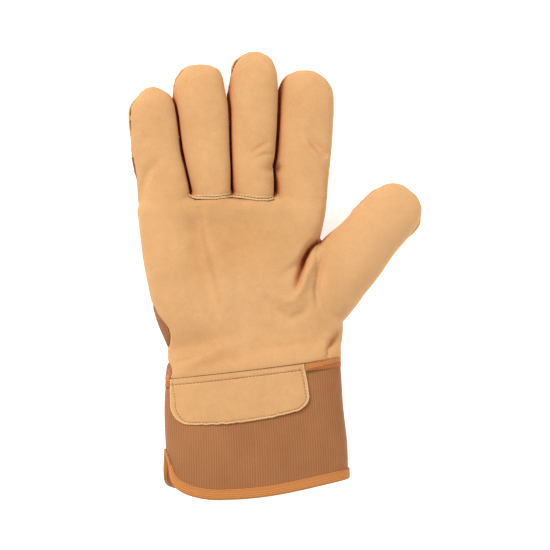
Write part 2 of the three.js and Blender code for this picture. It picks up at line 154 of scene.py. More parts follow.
HAND = [
    Row(-76, -67.0, 41.5, 1.35, 34.5),
    Row(-64, -68.3, 40.9, 1.35, 33.6),
    Row(-52, -66.8, 40.4, 1.35, 32.6),
    Row(-45, -66.6, 40.9, 1.35, 31),
    Row(-38, -69.5, 41.9, 0.8, 30.5),
    Row(-28, -73.8, 42.2, 0, 31),
    Row(-17, -76.8, 39.3, 0, 31.5),
    Row(-5, -79.3, 35, 0, 31.5),
    Row(7, -81.6, 30.4, 0, 31),
    Row(20, -83.4, 27.4, 0, 28.8),
    Row(33, -84.9, 30.0, 0, 26.5),
    Row(44, -85.4, 31.3, 0, 25.0),
    Row(47.5, -83.0, 30.0, 1.5, 23),
    Row(50.5, -78.0, 26.0, 5, 17),
]
LITTLE = [
    Row(22, -79, -58, 2.5, 24),
    Row(38, -84.6, -52.6, 0, 24.5),
    Row(51, -86.1, -53.2, 0, 23.5),
    Row(64.5, -87.2, -55.9, 0, 22),
    Row(77, -89.7, -58.8, 0, 21),
    Row(90, -90.8, -60.5, 0, 20.5),
    Row(101, -91.2, -61.9, 0, 20),
    Row(108.5, -89.6, -63.6, 0.8, 19),
    Row(113.8, -85.6, -66.6, 3, 16.5),
    Row(117.3, -80.5, -72.5, 6, 13),
]
RING = [
    Row(22, -52.6, -30, 2.5, 24.5),
    Row(38, -53.2, -27.7, 0, 25.5),
    Row(51, -54.0, -27.7, 0, 25),
    Row(58, -56.0, -27.8, 0, 24.5),
    Row(66, -57.9, -27.9, 0, 24),
    Row(80, -61.0, -28.5, 0, 23),
    Row(94, -62.8, -28.8, 0, 22),
    Row(107, -64.2, -29.4, 0, 21.5),
    Row(117.5, -63.8, -31.4, 0, 20.5),
    Row(125.4, -61.8, -33.2, 1.2, 18.5),
    Row(129.6, -58.8, -36.0, 3.5, 15.5),
    Row(131.8, -54, -40.5, 6, 12.5),
]
MIDDLE = [
    Row(22, -26, -2, 2.5, 24.5),
    Row(38, -27.6, -0.9, 0, 25.5),
    Row(51, -28.0, -0.9, 0, 25),
    Row(58, -29.3, -0.9, 0, 24.7),
    Row(66, -29.7, -1.0, 0, 24.5),
    Row(80, -30.3, 0.4, 0, 23.5),
    Row(94, -30.6, 1.3, 0, 22.5),
    Row(108, -30.6, 1.8, 0, 22),
    Row(121, -28.5, 1.6, 0, 21),
    Row(131.3, -26.2, -0.2, 0.8, 19),
    Row(136.8, -22.4, -3.6, 3, 16),
    Row(140.0, -16.5, -9, 6, 12.5),
]
INDEX = [
    Row(20, 2, 25.4, 2.5, 24),
    Row(36, -0.8, 30.6, 0, 25.5),
    Row(51, -1.3, 32.5, 0, 24.5),
    Row(58, -2.6, 33.1, 0, 24),
    Row(66, -2.9, 33.8, 0, 23.5),
    Row(80, -2.0, 35.1, 0, 22.5),
    Row(94, -1.2, 36, 0, 22),
    Row(107, -0.1, 36.4, 0, 21.5),
    Row(115.8, 2.1, 35.7, 0, 20.5),
    Row(121.9, 4.6, 32.3, 1.2, 18.5),
    Row(126, 8.6, 27.8, 3.5, 15.5),
    Row(128.4, 14.5, 24, 6, 12.5),
]
THUMB = [
    Row(-34, -7, 9, 5, 20),
    Row(-15, -16, 18.3, 0.5, 27),
    Row(-4, -19, 18.4, 0, 28.5),
    Row(8, -23.2, 17.6, 0, 28.5),
    Row(19.5, -23.5, 17.6, 0, 27),
    Row(31, -21.3, 16.6, 0, 25.5),
    Row(41, -20.8, 15.8, 0, 24.5),
    Row(51, -19.9, 16.2, 0, 23.5),
    Row(60.5, -19.0, 15.8, 0, 22),
    Row(67.7, -16.6, 13.7, 1.2, 19.5),
    Row(73.0, -12.4, 9.5, 3.5, 16),
    Row(75.6, -7.4, 4.4, 6, 13),
]
THUMB_ROOT = Vector((37.5, -6, 0))
THUMB_SPLAY = math.radians(39.8)
FINGERS = [LITTLE, RING, MIDDLE, INDEX]
BELLY = 0.48  # height of a ring's widest part, as a share of its own height
SAG = 1.22  # above 1 flattens the underside
print("Sections of the hand, the fingers and the thumb:", [len(rows) for rows in (HAND, *FINGERS, THUMB)])


# %% [markdown]
# The tables are short, so the sections between them are worked out with a curve that passes through each
# given value with its neighbours' slope. That is what a flexible batten does on a boat builder's drawing.


# %% Sections between the table's rows
def column(rows, name, y):
    """One column of a table at any y, along a curve through its values."""
    ys = np.array([row.y for row in rows])
    values = np.array([getattr(row, name) for row in rows])
    slopes = np.gradient(values, ys)
    i = np.clip(np.searchsorted(ys, y) - 1, 0, len(ys) - 2)
    span = ys[i + 1] - ys[i]
    t = np.clip((y - ys[i]) / span, 0, 1)
    first = (2 * t**3 - 3 * t**2 + 1) * values[i] + (t**3 - 2 * t**2 + t) * span * slopes[i]
    second = (3 * t**2 - 2 * t**3) * values[i + 1] + (t**3 - t**2) * span * slopes[i + 1]
    return first + second


def ring_section(angles, roundness, lean=0.0):
    """A ring of width 2 and height 1 that stands on its flattened underside."""
    across = np.sign(np.cos(angles)) * np.abs(np.cos(angles)) ** roundness
    up = np.sign(np.sin(angles)) * np.abs(np.sin(angles)) ** roundness
    height = np.where(up > 0, BELLY + (1 - BELLY) * up, np.maximum(0, BELLY * (1 + SAG * up)))
    across = across + lean * np.maximum(up, 0)
    return across / np.where(across > 0, max(1, across.max()), max(1, -across.min())), height


# %% [markdown]
# A new circle is bent to that section, then extruded and resized from row to row, as one would do with the
# E, G and S keys. The fingers almost touch on the real glove, and remeshing would weld them together. So
# they are modelled a little spread, and brought together once they are one skin with the hand.

# %% Extrude a tube through its sections
STEP = 3.0  # mm between extruded rings
SPREAD = [-9, -3, 3, 9]  # mm, each finger's move sideways while it is modelled
SPREAD_START, SPREAD_END = 41, 58  # mm along Y, from none of the move to all of it


def spread_share(y):
    return smoothstep(np.asarray(y, dtype=float), SPREAD_START, SPREAD_END)


def new_disc(name, sides, turn):
    """A filled circle of radius 1, turned upright."""
    bpy.ops.mesh.primitive_circle_add(vertices=sides, radius=1, fill_type="NGON", rotation=turn)
    bpy.ops.object.transform_apply(location=True, rotation=True, scale=True)
    piece = bpy.context.object
    piece.name = name
    return piece


def next_ring(step, first):
    """Moves the selected ring by a step. All but the first are extruded on the way."""
    if first:
        bpy.ops.transform.translate(value=tuple(step))
    else:
        bpy.ops.mesh.extrude_region_move(TRANSFORM_OT_translate={"value": tuple(step)})


def face_outwards():
    """Turns all the faces of the piece that is being edited outwards."""
    bpy.ops.mesh.select_all(action="SELECT")
    bpy.ops.mesh.normals_make_consistent(inside=False)


def tube(name, rows, roundness, sides=48, sideways=0.0, lean=0.0):
    ys = np.linspace(rows[0].y, rows[-1].y, round((rows[-1].y - rows[0].y) / STEP) + 1)
    piece = new_disc(name, sides, (math.pi / 2, 0, 0))
    across, height = ring_section(np.arange(sides) * 2 * math.pi / sides, roundness, lean)
    write_points(piece, np.column_stack([across, np.zeros(sides), height]))
    size, place = np.ones(2), np.zeros(3)
    with editing(piece):
        for k, y in enumerate(ys):
            left, right, low, high = (column(rows, part, y) for part in ("left", "right", "low", "high"))
            middle = (left + right) / 2 + sideways * float(spread_share(y))
            new_place = np.array([middle, y, low]) * MM
            new_size = np.array([(right - left) / 2, high - low]) * MM
            next_ring(new_place - place, first=k == 0)
            ratio = new_size / size
            bpy.ops.transform.resize(value=(ratio[0], 1, ratio[1]), center_override=tuple(new_place))
            size, place = new_size, new_place
        face_outwards()
    return piece


FINGER_ROUNDNESS = 0.88  # 1 is an ellipse, and less is boxier
FINGER_LEAN = 0.42  # the fingers roll a little towards the thumb
HAND_ROUNDNESS = 0.66
lobes = [tube("hand_form", HAND, HAND_ROUNDNESS, sides=96)]
for k, rows in enumerate(FINGERS):
    lobes.append(tube(f"finger_form_{k}", rows, FINGER_ROUNDNESS, sideways=SPREAD[k], lean=FINGER_LEAN))
thumb = tube("thumb_form", THUMB, FINGER_ROUNDNESS)
thumb.data.transform(Matrix.Translation(THUMB_ROOT * MM) @ Matrix.Rotation(-THUMB_SPLAY, 4, "Z"))
lobes.append(thumb)
print("Extruded", len(lobes), "tubes")

# %% [markdown]
# ## One skin
# Joined tubes still pass through each other. A voxel remesh wraps them all in one new skin of even quads,
# which welds the fingers to the hand and can then be shaped anywhere. A little smoothing takes out the steps
# that the voxels leave, and rounds the webs between the fingers. It also shrinks the skin a little, so each
# point is then moved out again by as much.

# %% Join, remesh and smooth
SKIN_VOXEL = 0.9 * MM
SHRINKAGE = 0.35 * MM

make_active(lobes[0])
for lobe in lobes:
    lobe.select_set(True)
bpy.ops.object.join()
skin = bpy.context.object
skin.name = "glove_skin"
skin.data.remesh_voxel_size = SKIN_VOXEL
bpy.ops.object.voxel_remesh()
apply_modifier(skin, "SMOOTH", factor=0.5, iterations=8)
write_points(skin, read_points(skin) + read_points(skin, "normal") * SHRINKAGE)
print("Skin:", len(skin.data.vertices), "points,", len(skin.data.polygons), "faces")


# %% [markdown]
# Each point belongs to the finger whose middle it is nearest to, measured in that finger's own widths. With
# that known, the spread is taken out again. In the palm, below the fingers, the move fades evenly from one
# finger to the next, so nothing tears there.

# %% Bring the fingers together
THUMB_CLEAR = 48  # mm, further along X and up there is only the thumb
PALM_END, FINGERS_START = 46, 51  # mm along Y


def middles(y, spread):
    return [(column(rows, "left", y) + column(rows, "right", y)) / 2 + spread * sideways * spread_share(y)
            for rows, sideways in zip(FINGERS, SPREAD)]


points = read_points(skin)
x, y = points[:, 0] / MM, points[:, 1] / MM
widths = [column(rows, "right", y) - column(rows, "left", y) for rows in FINGERS]
finger = np.argmin([np.abs(x - middle) / width for middle, width in zip(middles(y, 1), widths)], axis=0)
across_palm = np.interp(x, middles(50.0, 0), SPREAD)
move = across_palm + (np.array(SPREAD)[finger] - across_palm) * smoothstep(y, PALM_END, FINGERS_START)
move *= spread_share(y) * ((x < THUMB_CLEAR) | (y < SPREAD_START))
points[:, 0] -= move * MM
write_points(skin, points)
print("Points of each finger:", np.bincount(finger[y > 55]))

# %% [markdown]
# The tables make the fingers a bit too wide, so that they press on each other. Where two meet, both are
# flattened against a wall between them. It leans: low down it reaches under the left finger's edge, and
# higher up it opens into a narrow dark groove. Low down the right finger also reaches for the wall, so no
# light comes up between them. The webs and the leather at the base of the fingers are evened out after that.
# Which finger a point is on is kept with the mesh for cutting it later.

# %% Press the fingers on each other
TOUCH = 0.08  # mm of air on each side of the wall
WALL_UNDER, WALL_OPEN = 0.8, 1.5  # mm to the left of the edge low down, and to the right of it higher up
WALL_LOW, WALL_HIGH = 4, 13  # heights in mm between which it leans
REACH = 1.2  # mm, how far the right finger reaches for it
PRESS_START, PRESS_END = 49, 53  # mm along Y, from no pressing to all of it
WEB_START, WEB_END, WEB_HALF, WEB_LOW = 47, 55, 2.2, 8  # mm: along Y, to each side of the gap, and up

x, y, z = points.T / MM
at_fingers = smoothstep(y, PRESS_START, PRESS_END)
for k, rows in enumerate(FINGERS[:-1]):
    edge = column(rows, "right", y)
    wall = edge - WALL_UNDER + (WALL_UNDER + WALL_OPEN) * smoothstep(z, WALL_LOW, WALL_HIGH)
    over = np.maximum(0, x - np.minimum(edge, wall) + TOUCH) * (finger == k)
    near = (1 - smoothstep(x - wall, REACH / 2, REACH)) * (1 - smoothstep(z, 5, 10))
    under = np.where(x < wall + TOUCH, 1, near) * (wall + TOUCH - x) * (finger == k + 1)
    points[:, 0] += (under - over) * at_fingers * MM
    web = (np.abs(x - edge) < WEB_HALF) & (y > WEB_START) & (y < WEB_END) & (z > WEB_LOW)
    even_out(points, edge_ends(skin), web, 3)
finger_bases = smoothstep(y, 26, 38) * smoothstep(-y, -49.5, -47.5) * smoothstep(z, 12, 20)
even_out(points, edge_ends(skin), finger_bases, 30)
write_points(skin, points)
store(skin, "finger", finger, "INT")
print("Points pressed together:", int(((over > 0) | (under != 0)).sum()), "at the last gap")

# %% [markdown]
# The hand's open end is cut off level with a bisect. The real seam to the cuff climbs in a shallow curve
# towards the thumb, so the stretch of hand above the cut is then drawn out until its edge lies on that curve.

# %% Cut the wrist along its seam
WRIST_CUT = -62  # mm along Y
WRIST_FIRM = -40  # mm along Y, above which the hand isn't stretched


def wrist_seam(x):
    """Height along Y of the seam between hand and cuff, in mm."""
    return -56.6 + 0.128 * x + 0.0002 * x**2 + 0.9 * smoothstep(x, 12, 42)


with editing(skin):
    bpy.ops.mesh.bisect(plane_co=(0, WRIST_CUT * MM, 0), plane_no=(0, -1, 0), clear_outer=True)
points = read_points(skin)
below = points[:, 1] < WRIST_FIRM * MM
stretch = (wrist_seam(points[:, 0] / MM) - WRIST_FIRM) / (WRIST_CUT - WRIST_FIRM)
points[below, 1] = WRIST_FIRM * MM + (points[below, 1] - WRIST_FIRM * MM) * stretch[below]
write_points(skin, points)
print("Wrist edge from", round(wrist_seam(-67), 1), "to", round(wrist_seam(40), 1), "mm")

# %% [markdown]
# ## Folds
# Worn or not, leather keeps the folds it was sewn and packed with. A sculptor would draw them with a crease
# brush. Here each fold is a line seen from above, with a depth, a width to each side of it, and how strong it
# is at even steps along the way. Points near it move down, or up for a ridge. The deepest one runs from the
# crotch of the thumb into the palm. It is steep on the thumb's side, where the leather rolls over it.

# %% Draw the folds
LOWEST_FOLD = 12.5  # mm, so no fold reaches the side seam
Fold = namedtuple("Fold", "path depth left right strengths")  # left and right as one walks along the path

FOLDS = [
    # the deep crease at the thumb, the roll beside it, the valley behind that, and the hollow round its end
    Fold([(27.8, 21.2), (24.4, 18.8), (21.2, 15.2), (18.3, 9.4), (16.9, 3.3), (15.3, -1.5), (14.0, -7)],
         -9.5, 0.9, 2.4, (0.6, 0.9, 1.0, 0.9, 0.65, 0.45, 0.2)),
    Fold([(22, 13.5), (17, 8.5), (11.5, 4.5), (5.5, 1)], -2.6, 5.0, 2.6, (0.7, 1.0, 0.7, 0.1)),
    Fold([(28.5, 19), (24, 10), (19.8, 1.5), (17.0, -7.5), (12, -15.2), (7, -16), (1.6, -11.6)],
         1.9, 3.0, 1.9, (0.1, 1.0, 1.0, 1.0, 0.8, 0.5, 0.3)),
    Fold([(31, 17), (29.3, 9), (27, 0.5), (25.4, -8), (26.2, -19)],
         -2.0, 1.9, 1.7, (0.6, 1.0, 0.7, 1.0, 0.4)),
    Fold([(41.1, 29), (40.8, 14)], -0.5, 1.1, 1.1, (0.6, 1.0, 0.4)),
    Fold([(-5.2, -15.5), (0, -21.6), (9.4, -27), (17.7, -23.2), (21, -17)],
         -1.5, 3.0, 3.0, (0.4, 0.9, 1.0, 0.9, 0.4)),
    Fold([(-4, -29), (7, -34)], 0.7, 4.0, 4.0, (1.0, 1.0)),
    # long waves in the palm
    Fold([(-48.5, 40), (-47.6, 28), (-44.6, 14), (-41.4, 1.5), (-37.5, -15), (-36, -24)],
         -5.0, 3.2, 9.0, (0.3, 0.9, 1.0, 0.8, 0.5, 0.2)),
    Fold([(-34, 30), (-22, 25)], -2.8, 11.0, 10.0, (0.9, 1.0)),
    Fold([(-38, 20), (-33, 8), (-29.5, -6), (-28, -18)], 1.5, 5.0, 4.5, (0.4, 0.9, 1.0, 0.4)),
    Fold([(-32, 25), (-25, 20), (-12, 14)], -1.0, 5.0, 5.0, (1.0, 0.9, 0.4)),
    # wrinkles above the wrist
    Fold([(-63, -45.5), (-52, -44), (-41, -41.5)], -1.9, 6.5, 3.5, (0.5, 1.0, 0.5)),
    Fold([(-61, -51.5), (-54, -50.5), (-48, -49)], 0.8, 1.5, 1.7, (0.7, 1.0, 0.5)),
    Fold([(-62, -58.6), (-50, -53.6), (-41.4, -49.4), (-33, -45.2), (-27, -43)],
         1.7, 2.2, 4.6, (0.4, 0.8, 1.0, 0.9, 0.3)),
    Fold([(-50, -58), (-41, -56), (-33.7, -53.2), (-26, -52), (-12, -49), (6, -46)],
         -1.0, 3.8, 3.0, (0.5, 0.9, 1.0, 0.8, 0.6, 0.3)),
    Fold([(-12, -38), (6, -41), (20, -38)], 0.6, 3.5, 3.5, (0.6, 1.0, 0.6)),
    # the tuck at the thumb side of the wrist
    Fold([(39.3, -33.8), (36.8, -36.8), (34.4, -40.4), (32.6, -43.8), (31.9, -46.8)],
         -4.6, 4.0, 0.8, (0.3, 0.8, 1.0, 0.9, 0.3)),
    Fold([(31.9, -45.8), (31.7, -52.6)], -0.8, 1.0, 0.9, (0.8, 1.0, 0.1)),
    Fold([(36, -33), (31, -41), (28.5, -50)], 0.6, 2.6, 2.6, (0.7, 0.7, 0.3)),
    # thumb
    Fold([(77.5, 28.5), (69, 17.5), (61.5, 3), (52, -11)], -0.7, 4.5, 5.5, (0.4, 1.0, 1.0, 0.5)),
    # little finger
    Fold([(-73, 70.5), (-79, 64.5), (-82.4, 54), (-84, 46)], -2.0, 2.4, 3.4, (0.3, 0.9, 1.0, 0.5)),
    Fold([(-80, 86), (-82, 83)], -0.6, 2.6, 2.6, (1.0, 1.0)),
    # ring finger
    Fold([(-38, 70), (-35, 56)], -0.7, 4.5, 4.5, (0.6, 1.0)),
    # middle finger
    Fold([(-14.5, 76.5), (-8.4, 80.4), (-4, 82.5)], -1.1, 1.3, 1.3, (0.5, 1.0, 0.4)),
    Fold([(-12.5, 73), (-6.3, 75.2), (0, 75.2)], -1.1, 1.3, 1.3, (0.5, 1.0, 0.7)),
    Fold([(-8, 66), (-3.5, 65.5), (2, 67)], -2.2, 2.4, 2.4, (0.3, 1.0, 1.0)),
    # index finger
    Fold([(19.5, 88.5), (25, 81), (31, 75.5)], -2.0, 2.8, 2.6, (0.3, 1.0, 0.9)),
    Fold([(17.5, 85), (23, 78), (26.5, 73), (31.5, 67), (33.5, 62)],
         1.4, 1.5, 1.5, (0.2, 0.9, 1.0, 0.9, 0.5)),
    Fold([(22, 62), (28, 50)], -0.7, 5.0, 5.0, (1.0, 1.0)),
]


def running(lengths):
    """How far along a line each of its points is, from the lengths between them."""
    return np.concatenate([[0], np.cumsum(lengths)])


def distance_to_path(xy, path):
    """Each place's distance to a line of points, its share of the way along, and if it is on the left."""
    path = np.array(path, dtype=float)
    spans = np.diff(path, axis=0)
    lengths = np.linalg.norm(spans, axis=1)
    before = running(lengths)
    nearest, along, left = np.full(len(xy), np.inf), np.zeros(len(xy)), np.zeros(len(xy), dtype=bool)
    for start, span, length, done in zip(path, spans, lengths, before):
        offset = xy - start
        t = np.clip((offset @ span) / length**2, 0, 1)
        away = np.linalg.norm(offset - t[:, None] * span, axis=1)
        closer = away < nearest
        nearest[closer], along[closer] = away[closer], (done + t[closer] * length) / before[-1]
        left[closer] = (span[0] * offset[closer, 1] - span[1] * offset[closer, 0]) > 0
    return nearest, along, left


points = read_points(skin)
facing_up = smoothstep(read_points(skin, "normal")[:, 2], 0.2, 0.65)
lowest = np.minimum(points[:, 2], LOWEST_FOLD * MM)
for fold in FOLDS:
    away, along, left = distance_to_path(points[:, :2] / MM, fold.path)
    strength = np.interp(along, np.linspace(0, 1, len(fold.strengths)), fold.strengths)
    width = np.where(left, fold.left, fold.right)
    points[:, 2] += MM * fold.depth * strength * bell(away, width) * facing_up
points[:, 2] = np.maximum(points[:, 2], lowest)
write_points(skin, points)
print("Folds drawn:", len(FOLDS))

# %% [markdown]
# A grab brush then pulls the outline about where the real one isn't smooth. The tips of the little and the
# ring finger are pinched, and the upper part of the groove between the middle and the index finger is pulled
# a bit wider.

# %% Pull the outline
# in mm, with the fingers counted from the little one, and nothing is moved below the height "above"
Grab = namedtuple("Grab", "x y pull_x pull_y radius fingers above")

GRABS = [
    Grab(-76.5, 117.0, -0.3, 0.9, 2.6, [0], 0),
    Grab(-86.5, 111.0, 0.8, -0.5, 4.0, [0], 0),
    Grab(-60.0, 127.0, 0.5, -0.6, 3.5, [1], 0),
    Grab(-47.0, 132.0, 0.0, 0.5, 2.5, [1], 0),
    Grab(-0.8, 68.2, -1.0, 0.0, 3.0, [2], 12),
    Grab(0.8, 56.5, 1.0, 0.0, 4.5, [3], 12),
]


def finger_of_points(piece):
    values = np.empty(len(piece.data.vertices), dtype=np.int32)
    piece.data.attributes["finger"].data.foreach_get("value", values)
    return values


points, finger = read_points(skin), finger_of_points(skin)
for grab in GRABS:
    away = np.hypot(points[:, 0] / MM - grab.x, points[:, 1] / MM - grab.y)
    share = bell(away, grab.radius) * np.isin(finger, grab.fingers)
    if grab.above:
        share = share * smoothstep(points[:, 2] / MM, grab.above, grab.above + 5)
    points[:, :2] += np.array([grab.pull_x, grab.pull_y]) * MM * share[:, None]
write_points(skin, points)
print("Pulled at", len(GRABS), "places")

# %% [markdown]
# No hide is perfectly even. Two layers of smooth noise, one as wide as a finger and one as wide as a
# fingernail, keep the surface from looking moulded. Above the wrist patch the palm leather is lifted to the
# patch's own height, because on the real glove the two are sewn edge to edge with no step. Beside the patch
# it is lifted less.

# %% Uneven leather
BROAD = (0.35, 24)  # mm of height, mm across one bump
FINE = (0.12, 8)
PATCH_TOP = 1.75  # mm, height of the wrist patch's face over the cuff
TAPE_TOP = 0.5  # the same for the leather under the wrist tape
PATCH_LEVEL_X, TAPE_LEVEL_X = 19, 38  # mm along X, where the one level ends and the other starts
SEAM_DIP, DIP_WIDTH = 0.3, 0.8  # mm, how far the stitches pull the wrist seam down, and how wide that is


def seam_level(x):
    """How far the faces beside the wrist seam stand over the cuff, in mm."""
    return TAPE_TOP + (PATCH_TOP - TAPE_TOP) * smoothstep(-x, -TAPE_LEVEL_X, -PATCH_LEVEL_X)


def unevenness(point):
    return sum(height * MM * noise.noise(point / (across * MM)) for height, across in (BROAD, FINE))


bumps = np.array([unevenness(vertex.co) for vertex in skin.data.vertices])
points = read_points(skin)
x, y, z = points.T / MM
above_wrist = y - wrist_seam(x)
bumps *= smoothstep(above_wrist, 0, 6)
lift = smoothstep(x, -66.5, -64) * seam_level(x)
lift *= smoothstep(-above_wrist, -13, -1.5) * smoothstep(z, 14, 20)
points += read_points(skin, "normal") * (bumps + lift * MM)[:, None]
points[:, 2] = np.maximum(points[:, 2], 0)
write_points(skin, points)
whole_skin = BVHTree.FromPolygons(points.tolist(), [list(face.vertices) for face in skin.data.polygons])
print("Unevenness from", round(bumps.min() / MM, 2), "to", round(bumps.max() / MM, 2), "mm")

# %% [markdown]
# ## Cutting the skin into its sewn panels
# The real glove is sewn from flat pieces. Sewing them in Blender would be slow, so the finished skin is cut
# along the seams instead. Each face gets the number of its panel from where it lies: above or below the side
# seam, which finger it is on, and on which side of each seam line.

# %% Seam lines, in millimetres
SIDE_SEAM = 10.5  # height at which the palm side meets the back
BASE_SEAM = [
    (-55, 51.6), (-52.6, 49.6), (-49.5, 48.2), (-37.5, 47.9), (-27, 49.4), (-19, 48.4), (-10.5, 47.1),
    (-3.5, 47.1), (0.2, 48.3), (2, 50.2),
]
WELT_HALF = 0.85  # half of the gap that the welt fills
WELT_LOW = 20  # height at which that gap ends on the fingers' sides
PALM_EDGE = [
    (-82, -13), (-76, -18.8), (-73.2, -25.1), (-69.1, -30), (-66.7, -33), (-65.6, -36.8), (-65.6, -40.4),
    (-66.6, -44), (-69.5, -47), (-70, -49.5), (-68.5, -52.3), (-66.2, -54.6), (-64.6, -58.5), (-64.2, -75),
]
INDEX_EDGE = [(-0.1, 60), (0.6, 45), (40, 37)]
THUMB_EDGE = [(33, 29), (28.5, 20), (30, -5), (47, -40)]
THUMB_SIDE_X = 38  # further up, only the thumb lies beyond this X
TIP_EDGES = [73.5, 87.5, 95.5]  # on the backs of the little, ring and middle fingers
FINGERS_FROM = 49  # along Y, where a point can lie on the back of a finger
PANELS = [
    "palm_leather", "ring_finger_leather", "middle_finger_leather", "back_canvas", "index_back_leather",
    "thumb_back_leather", "little_tip_leather", "ring_tip_leather", "middle_tip_leather",
]
PALM, RING_FRONT, MIDDLE_FRONT, BACK, INDEX_BACK, THUMB_BACK, TIPS = 0, 1, 2, 3, 4, 5, 6
WELT = len(PANELS)  # the faces that make room for the welt


def x_on(line, y):
    line = np.array(sorted(line, key=lambda place: place[1]), dtype=float)
    return np.interp(y, line[:, 1], line[:, 0])


def y_on(line, x):
    line = np.array(sorted(line), dtype=float)
    return np.interp(x, line[:, 0], line[:, 1])


# %% Number the faces
def panel_numbers(centres, finger):
    x, y, z = centres.T / MM
    at_fingers = y > FINGERS_FROM
    panel = np.where(z > SIDE_SEAM, PALM, BACK)
    front = panel == PALM
    above_base = y - y_on(BASE_SEAM, x)
    over_seam = (x > BASE_SEAM[0][0]) & (x < BASE_SEAM[-1][0])
    inner = ((finger == 1) | (finger == 2)) & (over_seam | (y > BASE_SEAM[0][1] + 2))
    panel[front & inner & (above_base > WELT_HALF) & (finger == 1)] = RING_FRONT
    panel[front & inner & (above_base > WELT_HALF) & (finger == 2)] = MIDDLE_FRONT
    panel[front & inner & over_seam & (np.abs(above_base) <= WELT_HALF) & (z > WELT_LOW)] = WELT
    panel[(x < x_on(PALM_EDGE, y)) & (y < PALM_EDGE[0][1])] = BACK
    back = panel == BACK
    for k, edge in enumerate(TIP_EDGES):
        panel[back & at_fingers & (finger == k) & (y > edge)] = TIPS + k
    on_index = (x < THUMB_SIDE_X) & np.where(y > INDEX_EDGE[0][1], finger == 3, x > x_on(INDEX_EDGE[:2], y))
    panel[back & on_index & (y > y_on(INDEX_EDGE[1:], x)) & (y > INDEX_EDGE[2][1])] = INDEX_BACK
    panel[back & (x > x_on(THUMB_EDGE, y)) & (y > THUMB_EDGE[-1][1]) & (panel != INDEX_BACK)] = THUMB_BACK
    return panel


def face_centres(piece):
    centres = np.empty(len(piece.data.polygons) * 3)
    piece.data.polygons.foreach_get("center", centres)
    return centres.reshape(-1, 3)


first_corners = [face.vertices[0] for face in skin.data.polygons]
panel = panel_numbers(face_centres(skin), finger_of_points(skin)[first_corners])
print("Faces of each panel:", dict(zip([*PANELS, "welt"], np.bincount(panel))))

# %% [markdown]
# The faces are squares of about a millimetre, so the cuts would run in steps. The points on each cut are
# therefore slid sideways onto their seam line, and the points beside them are evened out. Most of the cut
# between front and back is level, but where the canvas wraps round to the palm side it follows the edge of
# the palm.


# %% Slide the cut points onto the seams
def edge_table(piece):
    """The two ends of each edge, and the numbers of the two faces beside it, or -1."""
    mesh = piece.data
    loop_edges = np.empty(len(mesh.loops), dtype=int)
    mesh.loops.foreach_get("edge_index", loop_edges)
    sizes = np.empty(len(mesh.polygons), dtype=int)
    mesh.polygons.foreach_get("loop_total", sizes)
    loop_faces = np.repeat(np.arange(len(sizes)), sizes)
    beside = np.full((len(mesh.edges), 2), -1)
    order = np.argsort(loop_edges, kind="stable")
    edges, faces = loop_edges[order], loop_faces[order]
    first = np.concatenate([[True], edges[1:] != edges[:-1]])
    beside[edges[first], 0] = faces[first]
    beside[edges[~first], 1] = faces[~first]
    return edge_ends(piece), beside


ends, beside = edge_table(skin)
sides = np.sort(np.where(beside < 0, -1, panel[beside]), axis=1)
between = sides[:, 0] != sides[:, 1]


def points_between(*pairs):
    chosen = np.zeros(len(sides), dtype=bool)
    for pair in pairs:
        chosen |= (sides == np.sort(pair)).all(axis=1)
    return np.unique(ends[chosen])


points = read_points(skin) / MM
flanks = [(a, b) for a in (PALM, RING_FRONT, MIDDLE_FRONT, WELT) for b in range(BACK, WELT)]
on_side = points_between(*flanks)
over_top = points[on_side, 2] > SIDE_SEAM + 1.2
wrapped = on_side[over_top & (points[on_side, 1] < PALM_EDGE[0][1]) & (points[on_side, 0] < 0)]
on_side = np.setdiff1d(on_side, wrapped)
points[on_side, 2] = SIDE_SEAM
upper = wrapped[points[wrapped, 1] > PALM_EDGE[4][1]]
points[upper, 1] = y_on(PALM_EDGE[:5], points[upper, 0])
lower = np.setdiff1d(wrapped, upper)
points[lower, 0] = x_on(PALM_EDGE, points[lower, 1])
for low_side, offset in ((PALM, -WELT_HALF), (RING_FRONT, WELT_HALF), (MIDDLE_FRONT, WELT_HALF)):
    along = points_between((low_side, WELT))
    points[along, 1] = y_on(BASE_SEAM, points[along, 0]) + offset
for k, edge in enumerate(TIP_EDGES):
    points[points_between((BACK, TIPS + k)), 1] = edge
index_cut = points_between((BACK, INDEX_BACK), (PALM, INDEX_BACK))
index_cut = index_cut[(points[index_cut, 2] < SIDE_SEAM) & (points[index_cut, 0] > INDEX_EDGE[1][0] + 1)]
points[index_cut, 1] = y_on(INDEX_EDGE[1:], points[index_cut, 0])
thumb_cut = points_between((BACK, THUMB_BACK))
thumb_cut = thumb_cut[points[thumb_cut, 1] < THUMB_EDGE[0][1]]
points[thumb_cut, 0] = x_on(THUMB_EDGE, points[thumb_cut, 1])

fixed = np.zeros(len(points), dtype=bool)
fixed[np.unique(ends[between])] = True
touched = fixed.copy()
for _ in range(3):
    touched[ends[touched[ends].any(axis=1)]] = True
even_out(points, ends, touched & ~fixed, 6)
write_points(skin, points * MM)
print("Points on the seams:", int(fixed.sum()))

# %% [markdown]
# At a seam the leather turns inwards. The edge of each panel sinks most and its neighbours less, which leaves
# a soft groove with a rounded lip on both sides. The depth is worked out from how many edges away the seam
# is. The two fingers' leather shows its cut edge just above the welt, so the points there are marked for the
# finish.

